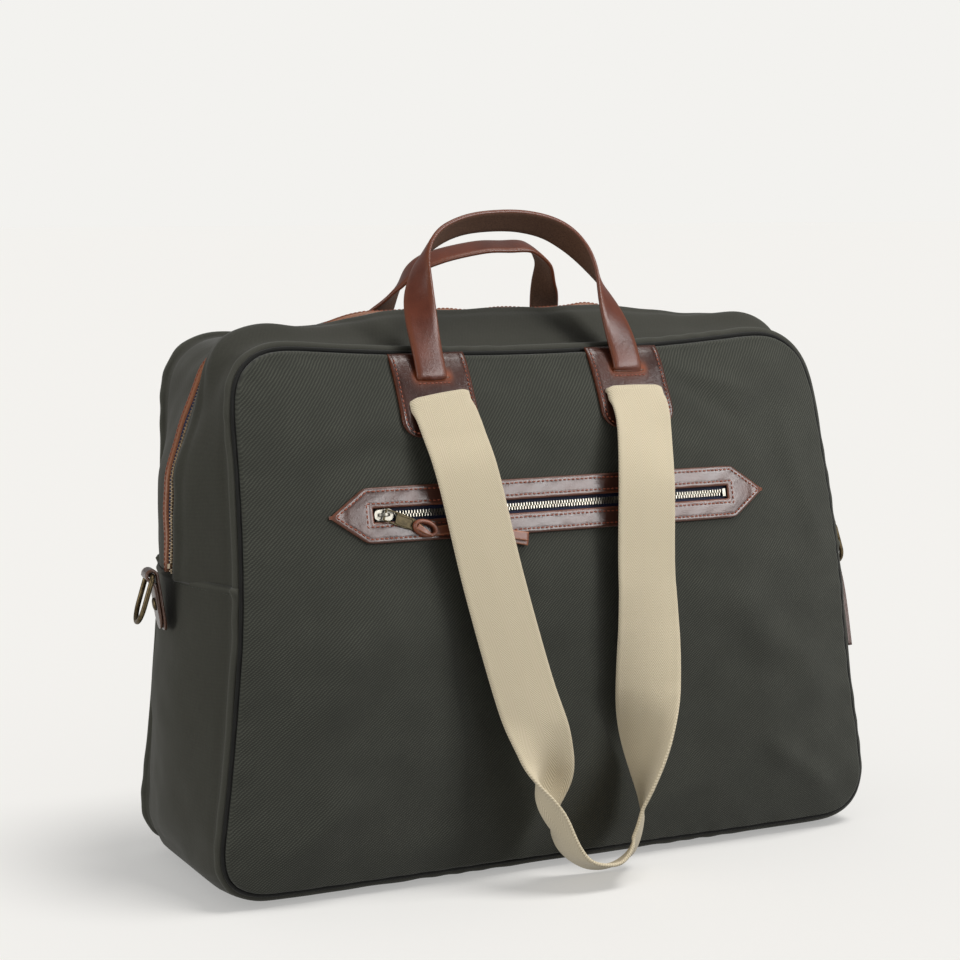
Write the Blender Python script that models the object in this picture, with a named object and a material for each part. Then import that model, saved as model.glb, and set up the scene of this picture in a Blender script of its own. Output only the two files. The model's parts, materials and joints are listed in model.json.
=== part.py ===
"""Weekender bag standing on its base: X to the right, -Y to the front, Z up, metres.

The origin is on the floor, under the middle of the bag. Every sewn piece is a plain
closed solid of its real size; the zips, pulls, handles, carrying loops and rings are
separate pieces that move.
"""

import math

import bmesh
import bpy
from mathutils import Matrix, Vector

# Body of the bag.
BASE_HALF = 0.2563
BASE_SPREAD = 0.004
BASE_SPREAD_Z = 0.070
FLARE = 0.1421
FLARE_CURVE = 0.1754
TOP_Z = 0.369
TOP_SAG = 0.009
SEAM_LIFT = 0.0065
TOP_CORNER = 0.036
BASE_CORNER = 0.026
FRONT_SEAM_Y = -0.070
REAR_SEAM_Y = 0.098
LEAN_START = 0.173
LEAN_SPAN = 0.20
FRONT_LEAN = 0.048
REAR_LEAN = 0.014
PANEL_BULGE = 0.014
PANEL_CENTRE_Z = 0.195
SIDE_BULGE = 0.0230
TOP_BULGE = 0.0250
SIDE_BULGE_Z = 0.15
CLOTH = 0.0025
PANEL_THICK = 0.003
GAP = 0.0004

# Seam ridge that stands beside each panel's edge.
RIDGE_RADIUS = 0.0032
RIDGE_OUT = -0.0005
RIDGE_BACK = 0.0067
EDGE = 0.0103

# Main zip, across its middle line.
SIDE_SEAM_Z = 0.211
ZIP_END_Z = 0.214
ZIP_SHIFT = -0.010
TEETH_HALF = 0.0030
TAPE_FROM = 0.0034
TAPE_TO = 0.0110
TRIM_FROM = 0.0069
TRIM_TO = 0.0120
HALF_GUSSET_FROM = 0.0124
MAIN_SLIDER_Z = 0.235
MAIN_PULL_SWING = math.radians(40)
MAIN_LACE_END = (0.2640, -0.040, 0.129)

# Pocket on the front panel.
POCKET_X = -0.005
POCKET_Z = 0.2573
POCKET_TILT = math.atan(0.24)
POCKET_TIP = 0.168
POCKET_CORNER = 0.1425
POCKET_HALF = 0.0187
WINDOW_X = 0.1375
WINDOW_HALF = 0.0047
POCKET_SLIDER_X = -0.1300
PULL_DROOP = math.radians(22)

# Handle patches, handles and carrying loops.
FRONT_DETAIL_X = -0.008
REAR_DETAIL_X = 0.008
PATCH_X = 0.0765
PATCH_HALF = 0.0285
PATCH_TOP = 0.3565
PATCH_BOTTOM = 0.3063
PATCH_THICK = 0.0028
HANDLE_WIDTH = 0.022
HANDLE_THICK = 0.0034
SLOT_Z = 0.3478
FOLD_Z = 0.3308
WEBBING_WIDTH = 0.045
WEBBING_THICK = 0.0022

# Ring tabs on the sides.
TAB_HALF = 0.0100
TAB_TOP_Z = 0.2155
TAB_LENGTH = 0.0380
TAB_THICK = 0.0020
TAB_LEAN = math.radians(12)
TAB_YAW = math.radians(9)
LOOP_RADIUS = 0.0024
RING_WIRE = 0.0017
RING_HALF_WIDE = 0.0142
RING_LONG = 0.0360
RING_TILT = 0.48

OLIVE = (0.045, 0.048, 0.036)
LEATHER = (0.16, 0.055, 0.030)
TAN = (0.30, 0.13, 0.055)
NAVY = (0.012, 0.015, 0.030)
BRASS = (0.62, 0.45, 0.22)
OLD_BRASS = (0.25, 0.20, 0.13)
SILVER = (0.55, 0.53, 0.50)
ECRU = (0.62, 0.58, 0.42)
BLACK = (0.02, 0.02, 0.02)


# --- scene and materials ---


def clear_scene():
    for item in list(bpy.data.objects):
        bpy.data.objects.remove(item)


def material(name, colour, roughness, metallic=0.0):
    made = bpy.data.materials.new(name)
    made.use_nodes = True
    shader = made.node_tree.nodes["Principled BSDF"]
    shader.inputs["Base Color"].default_value = (*colour, 1.0)
    shader.inputs["Roughness"].default_value = roughness
    shader.inputs["Metallic"].default_value = metallic
    made.diffuse_color = (*colour, 1.0)
    return made


def add_solid(name, points, faces, colour, roughness=0.8, metallic=0.0, smooth=False):
    mesh = bpy.data.meshes.new(name)
    mesh.from_pydata([tuple(point) for point in points], [], faces)
    work = bmesh.new()
    work.from_mesh(mesh)
    bmesh.ops.recalc_face_normals(work, faces=work.faces)
    work.to_mesh(mesh)
    work.free()
    mesh.materials.append(material(name + "_material", colour, roughness, metallic))
    made = bpy.data.objects.new(name, mesh)
    bpy.context.scene.collection.objects.link(made)
    for polygon in mesh.polygons:
        polygon.use_smooth = smooth
    return made


def set_origin(item, place):
    """Moves the object's origin to its joint axis and leaves its shape where it is."""
    item.data.transform(Matrix.Translation(-Vector(place)))
    item.location = place


# --- shapes ---


def grid_solid(name, outer, inner, keep, wrap, colour, roughness=0.8, smooth=False):
    """A sheet with thickness: rows of outer and inner points, and which cells exist."""
    rows = len(outer)
    columns = len(outer[0])
    index = {}
    points = []
    faces = []

    def vertex(side, i, j):
        key = (side, i % rows if wrap else i, j)
        if key not in index:
            index[key] = len(points)
            source = outer if side == 0 else inner
            points.append(source[key[1]][j])
        return index[key]

    last = rows if wrap else rows - 1
    cells = {(i, j) for i in range(last) for j in range(columns - 1) if keep(i, j)}

    def present(i, j):
        return ((i % rows) if wrap else i, j) in cells

    for i, j in sorted(cells):
        corners = [(i, j), (i + 1, j), (i + 1, j + 1), (i, j + 1)]
        faces.append([vertex(0, *corner) for corner in corners])
        faces.append([vertex(1, *corner) for corner in reversed(corners)])
        beside = [(i, j - 1), (i + 1, j), (i, j + 1), (i - 1, j)]
        for side, other in enumerate(beside):
            if present(*other):
                continue
            first = corners[side]
            second = corners[(side + 1) % 4]
            wall = [vertex(0, *second), vertex(0, *first)]
            wall += [vertex(1, *first), vertex(1, *second)]
            faces.append(wall)
    return add_solid(name, points, faces, colour, roughness, smooth=smooth)


def sweep(name, rings, closed, colour, roughness=0.8, metallic=0.0, smooth=False):
    """A solid through a row of closed cross-sections that have equal point counts."""
    count = len(rings[0])
    points = [point for ring in rings for point in ring]
    faces = []
    steps = len(rings) if closed else len(rings) - 1
    for i in range(steps):
        a = i * count
        b = ((i + 1) % len(rings)) * count
        for k in range(count):
            n = (k + 1) % count
            faces.append([a + k, a + n, b + n, b + k])
    if not closed:
        faces.append(list(range(count))[::-1])
        faces.append(list(range((len(rings) - 1) * count, len(rings) * count)))
    return add_solid(name, points, faces, colour, roughness, metallic, smooth)


def round_ring(centre, first, second, radius, sides):
    ring = []
    for k in range(sides):
        turn = 2 * math.pi * k / sides
        ring.append(centre + first * (radius * math.cos(turn)) + second * (radius * math.sin(turn)))
    return ring


def flat_ring(centre, across, normal, width, thick):
    half = across * (width / 2)
    rise = normal * (thick / 2)
    return [centre - half - rise, centre + half - rise, centre + half + rise, centre - half + rise]


def smooth_path(points, count):
    """Points evenly spaced along a smooth curve through the given ones."""
    dense = []
    total = len(points)
    for i in range(total - 1):
        before = points[max(i - 1, 0)]
        start = points[i]
        end = points[i + 1]
        after = points[min(i + 2, total - 1)]
        for k in range(16):
            t = k / 16
            a = (end - before) * 0.5
            b = (after - start) * 0.5
            value = start * (2 * t**3 - 3 * t**2 + 1) + a * (t**3 - 2 * t**2 + t)
            value = value + end * (3 * t**2 - 2 * t**3) + b * (t**3 - t**2)
            dense.append(value)
    dense.append(points[-1])
    reach = [0.0]
    for i in range(1, len(dense)):
        reach.append(reach[-1] + (dense[i] - dense[i - 1]).length)
    out = []
    k = 0
    for i in range(count):
        want = reach[-1] * i / (count - 1)
        while k < len(dense) - 2 and reach[k + 1] < want:
            k += 1
        share = (want - reach[k]) / max(reach[k + 1] - reach[k], 1e-9)
        out.append(dense[k].lerp(dense[k + 1], min(max(share, 0.0), 1.0)))
    return out


def prism(name, outline, frame, low, high, colour, roughness=0.8, metallic=0.0, smooth=False):
    """An outline in the frame's first two directions, thick along the third."""
    origin, first, second, normal = frame
    base = [origin + first * a + second * b + normal * low for a, b in outline]
    lid = [origin + first * a + second * b + normal * high for a, b in outline]
    return sweep(name, [base, lid], False, colour, roughness, metallic, smooth)


def join(name, pieces):
    """One body from overlapping pieces."""
    first = pieces[0]
    first.name = name
    for number, piece in enumerate(pieces[1:]):
        step = first.modifiers.new("join_%d" % number, "BOOLEAN")
        step.operation = "UNION"
        step.solver = "EXACT"
        step.object = piece
        hide_helper(piece)
    return first


def cut(item, cutter):
    step = item.modifiers.new("cut_" + cutter.name, "BOOLEAN")
    step.operation = "DIFFERENCE"
    step.solver = "EXACT"
    step.object = cutter
    hide_helper(cutter)


def hide_helper(item):
    item.hide_render = True
    item.display_type = "WIRE"


# --- the bag's form ---


def ramp(value, low, high):
    t = min(max((value - low) / (high - low), 0.0), 1.0)
    return t * t * (3 - 2 * t)


def half_width(z):
    spread_out = BASE_SPREAD * max(0.0, 1 - z / BASE_SPREAD_Z) ** 2
    return BASE_HALF - FLARE * z + FLARE_CURVE * z * z + spread_out


def lean(z):
    return max(0.0, (z - LEAN_START) / LEAN_SPAN) ** 1.5


def front_y(z):
    return FRONT_SEAM_Y + FRONT_LEAN * lean(z)


def rear_y(z):
    return REAR_SEAM_Y + REAR_LEAN * lean(z)


def build_outline():
    """Even points round the panel's edge, from the middle of the base to the left and up."""
    raw = []
    low = half_width(SEAM_LIFT + BASE_CORNER)
    high = half_width(TOP_Z - TOP_CORNER)
    for i in range(40):
        raw.append(Vector((-(low - BASE_CORNER) * i / 40, SEAM_LIFT)))
    for i in range(24):
        turn = math.radians(-90 - 90 * i / 24)
        x = -(low - BASE_CORNER) + BASE_CORNER * math.cos(turn)
        raw.append(Vector((x, SEAM_LIFT + BASE_CORNER + BASE_CORNER * math.sin(turn))))
    for i in range(60):
        z = SEAM_LIFT + BASE_CORNER + (TOP_Z - TOP_CORNER - SEAM_LIFT - BASE_CORNER) * i / 60
        raw.append(Vector((-half_width(z), z)))
    for i in range(24):
        turn = math.radians(180 - 90 * i / 24)
        x = -(high - TOP_CORNER) + TOP_CORNER * math.cos(turn)
        raw.append(Vector((x, TOP_Z - TOP_CORNER + TOP_CORNER * math.sin(turn))))
    for i in range(41):
        x = -(high - TOP_CORNER) * (1 - i / 40)
        raw.append(Vector((x, TOP_Z - TOP_SAG * (1 - (x / (high - TOP_CORNER)) ** 2))))
    for point in raw[-2:0:-1]:
        raw.append(Vector((-point.x, point.y)))
    count = 480
    reach = [0.0]
    for i in range(len(raw)):
        reach.append(reach[-1] + (raw[(i + 1) % len(raw)] - raw[i]).length)
    even = []
    k = 0
    for i in range(count):
        want = reach[-1] * i / count
        while reach[k + 1] < want:
            k += 1
        share = (want - reach[k]) / (reach[k + 1] - reach[k])
        even.append(raw[k].lerp(raw[(k + 1) % len(raw)], share))
    for _ in range(30):
        even = [
            (even[i - 1] + even[i] * 2 + even[(i + 1) % count]) / 4 for i in range(count)
        ]
    return even, reach[-1]


OUTLINE, OUTLINE_LENGTH = build_outline()
COUNT = len(OUTLINE)


def edge_at(share):
    """Place and outward direction on the panel's edge, at a share of its whole length."""
    spot = (share % 1.0) * COUNT
    i = int(spot) % COUNT
    part = spot - int(spot)
    place = OUTLINE[i].lerp(OUTLINE[(i + 1) % COUNT], part)
    way = OUTLINE[(i + 2) % COUNT] - OUTLINE[i - 1]
    way.normalize()
    return place, Vector((-way.y, way.x))


def share_at_height(z, left):
    """The share of the edge's length where one side reaches this height."""
    low = 0.2
    high = 0.45
    for _ in range(40):
        middle = (low + high) / 2
        if edge_at(middle)[0].y < z:
            low = middle
        else:
            high = middle
    return low if left else 1.0 - low


def panel_reach(x, z):
    """How far out from the panel's middle this point is, 0 at the middle and 1 at the edge."""
    turn = math.atan2(z - PANEL_CENTRE_Z, x)
    best = min(OUTLINE, key=lambda point: point.x)
    for i in range(COUNT):
        a = OUTLINE[i]
        b = OUTLINE[(i + 1) % COUNT]
        ta = math.atan2(a.y - PANEL_CENTRE_Z, a.x)
        tb = math.atan2(b.y - PANEL_CENTRE_Z, b.x)
        if abs(ta - tb) > math.pi:
            continue
        if (ta - turn) * (tb - turn) <= 0:
            share = (turn - ta) / (tb - ta) if tb != ta else 0.0
            best = a.lerp(b, share)
            break
    return math.hypot(x, z - PANEL_CENTRE_Z) / math.hypot(best.x, best.y - PANEL_CENTRE_Z)


def panel_bulge(x, z):
    return PANEL_BULGE * max(0.0, 1 - min(panel_reach(x, z), 1.0) ** 5)


def front_surface(x, z):
    return front_y(z) - panel_bulge(x, z)


def rear_surface(x, z):
    return rear_y(z) + panel_bulge(x, z)


def gusset_bulge(place, out):
    """How far the gusset swells past the panel's edge; it is tight round the top corners."""
    down = max(0.0, -out.y)
    side = SIDE_BULGE * math.sin(min(max(place.y, 0.0) / SIDE_BULGE_Z, 1.0) * math.pi / 2)
    side *= 1 - ramp(place.y, 0.272, 0.346)
    top = 0.0
    if place.y > 0.345:
        top = TOP_BULGE * (1 - ramp(abs(place.x), 0.070, 0.198))
    return down * SEAM_LIFT + (1 - down) * side + top


def gusset_point(share, across, depth):
    """A point on the gusset: across is -1 at the front edge and 1 at the rear edge."""
    place, out = edge_at(share)
    down = max(0.0, -out.y)
    first = front_y(place.y) + EDGE
    last = rear_y(place.y) - EDGE
    y = (first + last) / 2 + across * (last - first) / 2
    width = 1 - 0.8 * down
    near = min(1.0, max(0.0, 1 - abs(across)) / width)
    offset = gusset_bulge(place, out) * math.sin(near * math.pi / 2) - depth
    return Vector((place.x + out.x * offset, y, place.y + out.y * offset))


def gusset_half(share):
    place, _ = edge_at(share)
    return (rear_y(place.y) - front_y(place.y)) / 2 - EDGE


def strip_point(share, distance, depth):
    """A point at a distance in metres from the gusset's middle line."""
    return gusset_point(share, (ZIP_SHIFT + distance) / gusset_half(share), depth)


def spread(first, last, count):
    return [first + (last - first) * i / (count - 1) for i in range(count)]


LEFT_SEAM = share_at_height(SIDE_SEAM_Z, True)
RIGHT_SEAM = share_at_height(SIDE_SEAM_Z, False)
LEFT_ZIP = share_at_height(ZIP_END_Z, True)
RIGHT_ZIP = share_at_height(ZIP_END_Z, False)
SEAM_GAP = 0.0003 / OUTLINE_LENGTH
CORNER_WEIGHT = 0.11


def build_weights():
    """Length along the edge with bends counted as longer, so that corners get more points."""
    total = [0.0]
    for i in range(COUNT):
        a = OUTLINE[i] - OUTLINE[i - 1]
        b = OUTLINE[(i + 1) % COUNT] - OUTLINE[i]
        total.append(total[-1] + b.length + CORNER_WEIGHT * a.angle(b))
    return total


WEIGHTS = build_weights()


def weight_at(share):
    spot = (share % 1.0) * COUNT
    i = int(spot)
    value = WEIGHTS[i] + (WEIGHTS[i + 1] - WEIGHTS[i]) * (spot - i)
    return value + math.floor(share) * WEIGHTS[-1]


def share_at_weight(weight):
    turns = math.floor(weight / WEIGHTS[-1])
    rest = weight - turns * WEIGHTS[-1]
    low = 0
    high = COUNT
    while high - low > 1:
        middle = (low + high) // 2
        if WEIGHTS[middle] <= rest:
            low = middle
        else:
            high = middle
    part = (rest - WEIGHTS[low]) / (WEIGHTS[low + 1] - WEIGHTS[low])
    return turns + (low + part) / COUNT


def stations(first, last, count):
    """Shares from first to last, closer together round the corners."""
    return [share_at_weight(w) for w in spread(weight_at(first), weight_at(last), count)]


def loop_stations(count):
    return [share_at_weight(WEIGHTS[-1] * i / count) for i in range(count)]


# --- body pieces ---


def panel(name, surface, sign, depth, thick, inset, colour, rings=6, sides=40):
    """A panel of rings round its middle; sign is -1 at the front and 1 at the rear."""
    points = []
    shares = loop_stations(sides)
    faces = []
    for layer in (0, 1):
        for ring in range(1, rings + 1):
            share = (ring / rings) ** 0.8
            for k in range(sides):
                place, out = edge_at(shares[k])
                x = (place.x - out.x * inset) * share
                z = PANEL_CENTRE_Z + (place.y - out.y * inset - PANEL_CENTRE_Z) * share
                y = surface(x, z) - sign * (depth + thick * layer)
                points.append(Vector((x, y, z)))
        y = surface(0.0, PANEL_CENTRE_Z) - sign * (depth + thick * layer)
        points.append(Vector((0.0, y, PANEL_CENTRE_Z)))
    per = rings * sides + 1
    for layer in (0, 1):
        base = layer * per
        for k in range(sides):
            n = (k + 1) % sides
            faces.append([base + per - 1, base + k, base + n])
            for ring in range(rings - 1):
                a = base + ring * sides
                b = a + sides
                faces.append([a + k, b + k, b + n, a + n])
    edge = (rings - 1) * sides
    for k in range(sides):
        n = (k + 1) % sides
        faces.append([edge + k, edge + n, per + edge + n, per + edge + k])
    return add_solid(name, points, faces, colour, 0.9, smooth=True)


def build_panels():
    front = panel("front_panel", front_surface, -1, 0.0, PANEL_THICK, 0.0003, OLIVE)
    hole = [(-0.1405, -0.0078), (0.1405, -0.0078), (0.1405, 0.0078), (-0.1405, 0.0078)]
    cutter = prism("pocket_hole_cutter", hole, pocket_frame(), -0.02, 0.02, OLIVE)
    cut(front, cutter)
    panel("rear_panel", rear_surface, 1, 0.0, PANEL_THICK, 0.0003, OLIVE)
    panel("front_lining", front_surface, -1, 0.0125, 0.0008, 0.0075, BLACK, 4, 36)
    panel("rear_lining", rear_surface, 1, 0.0060, 0.0008, 0.0075, BLACK, 4, 36)


def build_ridge(name, seam, sign):
    rings = []
    for share in loop_stations(60):
        place, out = edge_at(share)
        y = seam(place.y) + sign * RIDGE_BACK
        centre = Vector((place.x + out.x * RIDGE_OUT, y, place.y + out.y * RIDGE_OUT))
        side = Vector((out.x, 0.0, out.y))
        rings.append(round_ring(centre, side, Vector((0, 1, 0)), RIDGE_RADIUS, 6))
    sweep(name, rings, True, OLIVE, 0.9, smooth=True)


ACROSS = [-1.0, -0.9, -0.78, -0.55, -0.28, 0.0, 0.28, 0.55, 0.78, 0.9, 1.0]


def gusset_strip(name, shares, acrosses, depth, thick, colour):
    outer = [[gusset_point(s, u, depth) for u in acrosses] for s in shares]
    inner = [[gusset_point(s, u, depth + thick) for u in acrosses] for s in shares]
    grid_solid(name, outer, inner, lambda i, j: True, False, colour, 0.9, smooth=True)


def build_gussets():
    low = stations(RIGHT_SEAM + SEAM_GAP, 1.0 + LEFT_SEAM - SEAM_GAP, 31)
    gusset_strip("lower_gusset", low, ACROSS, 0.0, CLOTH, OLIVE)
    high = stations(LEFT_SEAM + SEAM_GAP, RIGHT_SEAM - SEAM_GAP, 33)
    for name, sign in (("front_top_gusset", -1), ("rear_top_gusset", 1)):
        outer = []
        inner = []
        for s in high:
            near = (ZIP_SHIFT + sign * HALF_GUSSET_FROM) / gusset_half(s)
            row = [sign + (near - sign) * k / 5 for k in range(6)]
            outer.append([gusset_point(s, u, 0.0) for u in row])
            inner.append([gusset_point(s, u, CLOTH) for u in row])
        grid_solid(name, outer, inner, lambda i, j: True, False, OLIVE, 0.9, smooth=True)


def build_gusset_lining():
    shares = loop_stations(52)
    rows = []
    for s in shares:
        near = (ZIP_SHIFT - 0.0130) / gusset_half(s)
        far = (ZIP_SHIFT + 0.0130) / gusset_half(s)
        rows.append([-0.9, -0.55, near, far, 0.55, 0.9])
    depth = CLOTH + 0.0019
    outer = [[gusset_point(s, u, depth) for u in row] for s, row in zip(shares, rows)]
    inner = [[gusset_point(s, u, depth + 0.0008) for u in row] for s, row in zip(shares, rows)]

    def keep(i, j):
        return j != 2 or shares[i] < LEFT_ZIP or shares[i] > RIGHT_ZIP

    grid_solid("gusset_lining", outer, inner, keep, True, BLACK, 0.9, smooth=True)


def build_base_board():
    outline = rounded_rectangle(0.207, 0.058, 0.012, 4)
    frame = (Vector((0, 0.014, 0)), Vector((1, 0, 0)), Vector((0, 1, 0)), Vector((0, 0, 1)))
    prism("base_board", outline, frame, 0.0070, 0.0090, BLACK)


def rounded_rectangle(half_x, half_y, radius, steps):
    out = []
    for cx, cy, start in (
        (half_x - radius, half_y - radius, 0),
        (-half_x + radius, half_y - radius, 90),
        (-half_x + radius, -half_y + radius, 180),
        (half_x - radius, -half_y + radius, 270),
    ):
        for k in range(steps + 1):
            turn = math.radians(start + 90 * k / steps)
            out.append((cx + radius * math.cos(turn), cy + radius * math.sin(turn)))
    return out


# --- main zip ---


def build_main_zip():
    shares = stations(LEFT_ZIP, RIGHT_ZIP, 37)

    def band(name, low, high, under, over, colour, roughness, metallic=0.0):
        rings = []
        for s in shares:
            ring = [strip_point(s, low, under), strip_point(s, high, under)]
            ring += [strip_point(s, high, over), strip_point(s, low, over)]
            rings.append(ring)
        return sweep(name, rings, False, colour, roughness, metallic, True)

    for side, sign in (("front", -1), ("rear", 1)):
        band(side + "_zip_trim", sign * TRIM_FROM, sign * TRIM_TO, 0.0002, -0.0014, TAN, 0.5)
        band(side + "_zip_tape", sign * TAPE_FROM, sign * TAPE_TO, 0.0018, 0.0008, NAVY, 0.9)
    band("main_zip_teeth", -TEETH_HALF, TEETH_HALF, 0.0020, -0.0006, BRASS, 0.35, 1.0)


def side_frame(z, left):
    """Place on the zip's middle line and the ways up the side, to the front and outward."""
    here = share_at_height(z, left)
    step = 0.004 / OUTLINE_LENGTH * (1 if left else -1)
    a = strip_point(here - step, 0.0, 0.0)
    b = strip_point(here + step, 0.0, 0.0)
    up = (b - a).normalized()
    _, out = edge_at(here)
    normal = Vector((out.x, 0.0, out.y))
    normal = (normal - up * normal.dot(up)).normalized()
    side = up.cross(normal)
    if side.y > 0:
        side = -side
    return strip_point(here, 0.0, 0.0), up, side, normal


def build_slider(name, frame, long_half, wide_half, base, colour):
    """A plate with an arched bridge on it; the frame's first direction is its length."""
    origin, along, across, normal = frame
    plate = [(-long_half, -wide_half * 0.62), (-long_half * 0.2, -wide_half)]
    plate += [(long_half * 0.8, -wide_half), (long_half, -wide_half * 0.7)]
    plate += [(long_half, wide_half * 0.7), (long_half * 0.8, wide_half)]
    plate += [(-long_half * 0.2, wide_half), (-long_half, wide_half * 0.62)]
    body = prism(name, plate, frame, base, base + 0.0018, colour, 0.35, 1.0)
    top = base + 0.0018
    arch = [(-0.0036, top - 0.0004), (-0.0024, top - 0.0004), (-0.0021, top + 0.0030)]
    arch += [(0.0021, top + 0.0030), (0.0024, top - 0.0004), (0.0036, top - 0.0004)]
    arch += [(0.0032, top + 0.0034), (0.0024, top + 0.0041)]
    arch += [(-0.0024, top + 0.0041), (-0.0032, top + 0.0034)]
    bridge_frame = (origin, along, normal, across)
    bridge = prism(name + "_bridge", arch, bridge_frame, -0.0010, 0.0010, colour, 0.35, 1.0)
    return join(name, [body, bridge])


def build_pull(name, frame, length, half, opening, colour):
    """A tab with a window for the bridge; the frame starts on the crossbar, pointing along it."""
    head = 0.0048
    plate = [(head, -half), (length - 0.003, -half * 0.9), (length, -half * 0.55)]
    plate += [(length, half * 0.55), (length - 0.003, half * 0.9), (head, half)]
    body = prism(name, plate, frame, -0.0006, 0.0006, colour, 0.35, 1.0)
    low = [(-0.0006, -half), (head + 0.0010, -half), (head + 0.0010, -opening), (-0.0006, -opening)]
    high = [(a, -b) for a, b in reversed(low)]
    bar = [(-0.0006, -half + 0.0002), (0.0006, -half + 0.0002)]
    bar += [(0.0006, half - 0.0002), (-0.0006, half - 0.0002)]
    pieces = [body]
    pieces.append(prism(name + "_low", low, frame, -0.00055, 0.00055, colour))
    pieces.append(prism(name + "_high", high, frame, -0.00055, 0.00055, colour))
    pieces.append(prism(name + "_bar", bar, frame, -0.0005, 0.0005, colour))
    made = join(name, pieces)
    hole = [(length - 0.0042 + 0.0015 * math.cos(t), 0.0015 * math.sin(t)) for t in circle(10)]
    cut(made, prism(name + "_hole_cutter", hole, frame, -0.003, 0.003, colour))
    return made


def circle(count):
    return [2 * math.pi * k / count for k in range(count)]


def turned(frame, angle):
    """The frame turned in its own plane, from its first direction to its second."""
    origin, first, second, normal = frame
    a = first * math.cos(angle) + second * math.sin(angle)
    b = second * math.cos(angle) - first * math.sin(angle)
    return origin, a, b, normal


def shifted(frame, a, b, c):
    origin, first, second, normal = frame
    return origin + first * a + second * b + normal * c, first, second, normal


def lace_solid(name, points, width, thick, normal, count, colour):
    path = smooth_path(points, count)
    rings = []
    for i, point in enumerate(path):
        way = path[min(i + 1, count - 1)] - path[max(i - 1, 0)]
        way.normalize()
        across = way.cross(normal).normalized()
        flat = across.cross(way).normalized()
        rings.append(flat_ring(point, across, flat, width, thick))
    return sweep(name, rings, False, colour, 0.6)


def build_main_slider():
    frame = side_frame(MAIN_SLIDER_Z, False)
    origin, up, front, out = frame
    slider = build_slider("main_slider", frame, 0.0075, 0.0058, 0.0018, OLD_BRASS)
    down = (origin, -up, front, out)
    bar = shifted(turned(down, MAIN_PULL_SWING), 0.0, 0.0, 0.0053)
    pull = build_pull("main_pull", bar, 0.026, 0.0046, 0.0034, OLD_BRASS)
    hinge, way, across, normal = bar
    start = hinge + way * 0.0278 + normal * 0.0002
    end = Vector(MAIN_LACE_END)
    middle = start.lerp(end, 0.5) + normal * 0.003
    lace = lace_solid("main_lace", [start, middle, end], 0.0046, 0.0030, normal, 10, LEATHER)
    set_origin(slider, origin)
    set_origin(pull, hinge)
    set_origin(lace, start)
    stop_frame = side_frame(ZIP_END_Z + 0.005, True)
    outline = [(-0.0016, -0.0026), (0.0016, -0.0026), (0.0016, 0.0026), (-0.0016, 0.0026)]
    prism("main_zip_stop", outline, stop_frame, 0.0010, 0.0022, BRASS, 0.35, 1.0)


# --- pocket ---


def pocket_frame():
    y = front_surface(POCKET_X, POCKET_Z)
    up = Vector((0.0, math.sin(POCKET_TILT), math.cos(POCKET_TILT)))
    out = Vector((0.0, -math.cos(POCKET_TILT), math.sin(POCKET_TILT)))
    return Vector((POCKET_X, y, POCKET_Z)), Vector((1, 0, 0)), up, out


def build_pocket():
    frame = pocket_frame()
    hexagon = [(-POCKET_CORNER, -POCKET_HALF), (POCKET_CORNER, -POCKET_HALF), (POCKET_TIP, 0.0)]
    hexagon += [(POCKET_CORNER, POCKET_HALF), (-POCKET_CORNER, POCKET_HALF), (-POCKET_TIP, 0.0)]
    inner = [(-WINDOW_X, -WINDOW_HALF), (WINDOW_X, -WINDOW_HALF)]
    inner += [(WINDOW_X, 0.0), (WINDOW_X, WINDOW_HALF)]
    inner += [(-WINDOW_X, WINDOW_HALF), (-WINDOW_X, 0.0)]
    origin, first, second, normal = frame
    points = []
    for level in (0.0006, 0.0024):
        for a, b in hexagon + inner:
            points.append(origin + first * a + second * b + normal * level)
    faces = []
    for k in range(6):
        n = (k + 1) % 6
        faces.append([k, n, 6 + n, 6 + k])
        faces.append([12 + k, 18 + k, 18 + n, 12 + n])
        faces.append([k, 12 + k, 12 + n, n])
        faces.append([6 + k, 6 + n, 18 + n, 18 + k])
    add_solid("pocket_surround", points, faces, LEATHER, 0.5)
    for name, sign in (("pocket_tape_upper", 1), ("pocket_tape_lower", -1)):
        a = sign * 0.0027
        b = sign * 0.0074
        strip = [(-0.1395, a), (0.1395, a), (0.1395, b), (-0.1395, b)]
        prism(name, strip, frame, -0.0024, -0.0015, NAVY, 0.9)
    chain = [(-0.1370, -0.0023), (0.1335, -0.0023), (0.1335, 0.0023), (-0.1370, 0.0023)]
    prism("pocket_zip_teeth", chain, frame, -0.0026, -0.0004, BRASS, 0.35, 1.0)
    end = [(0.1338, -0.0027), (0.1362, -0.0027), (0.1362, 0.0027), (0.1338, 0.0027)]
    prism("pocket_zip_stop", end, frame, -0.0013, 0.0006, SILVER, 0.35, 1.0)
    here = shifted(frame, POCKET_SLIDER_X, 0.0, 0.0)
    slider = build_slider("pocket_slider", here, 0.0068, 0.0042, -0.0001, SILVER)
    bar = shifted(turned(here, -PULL_DROOP), 0.0, 0.0, 0.0034)
    pull = build_pull("pocket_pull", bar, 0.027, 0.0040, 0.0028, SILVER)
    hinge, way, across, out = bar
    start = hinge + way * 0.0278 + out * 0.0006
    middle = Vector((-0.078, start.y + 0.0005, POCKET_Z - 0.0120)) + out * 0.0016
    end_z = POCKET_Z - 0.0200
    end = Vector((-0.0365, front_surface(-0.0365, end_z) - 0.0052, end_z))
    lace = lace_solid("pocket_lace", [start, middle, end], 0.0075, 0.0022, out, 10, LEATHER)
    set_origin(slider, here[0])
    set_origin(pull, hinge)
    set_origin(lace, start)


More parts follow.
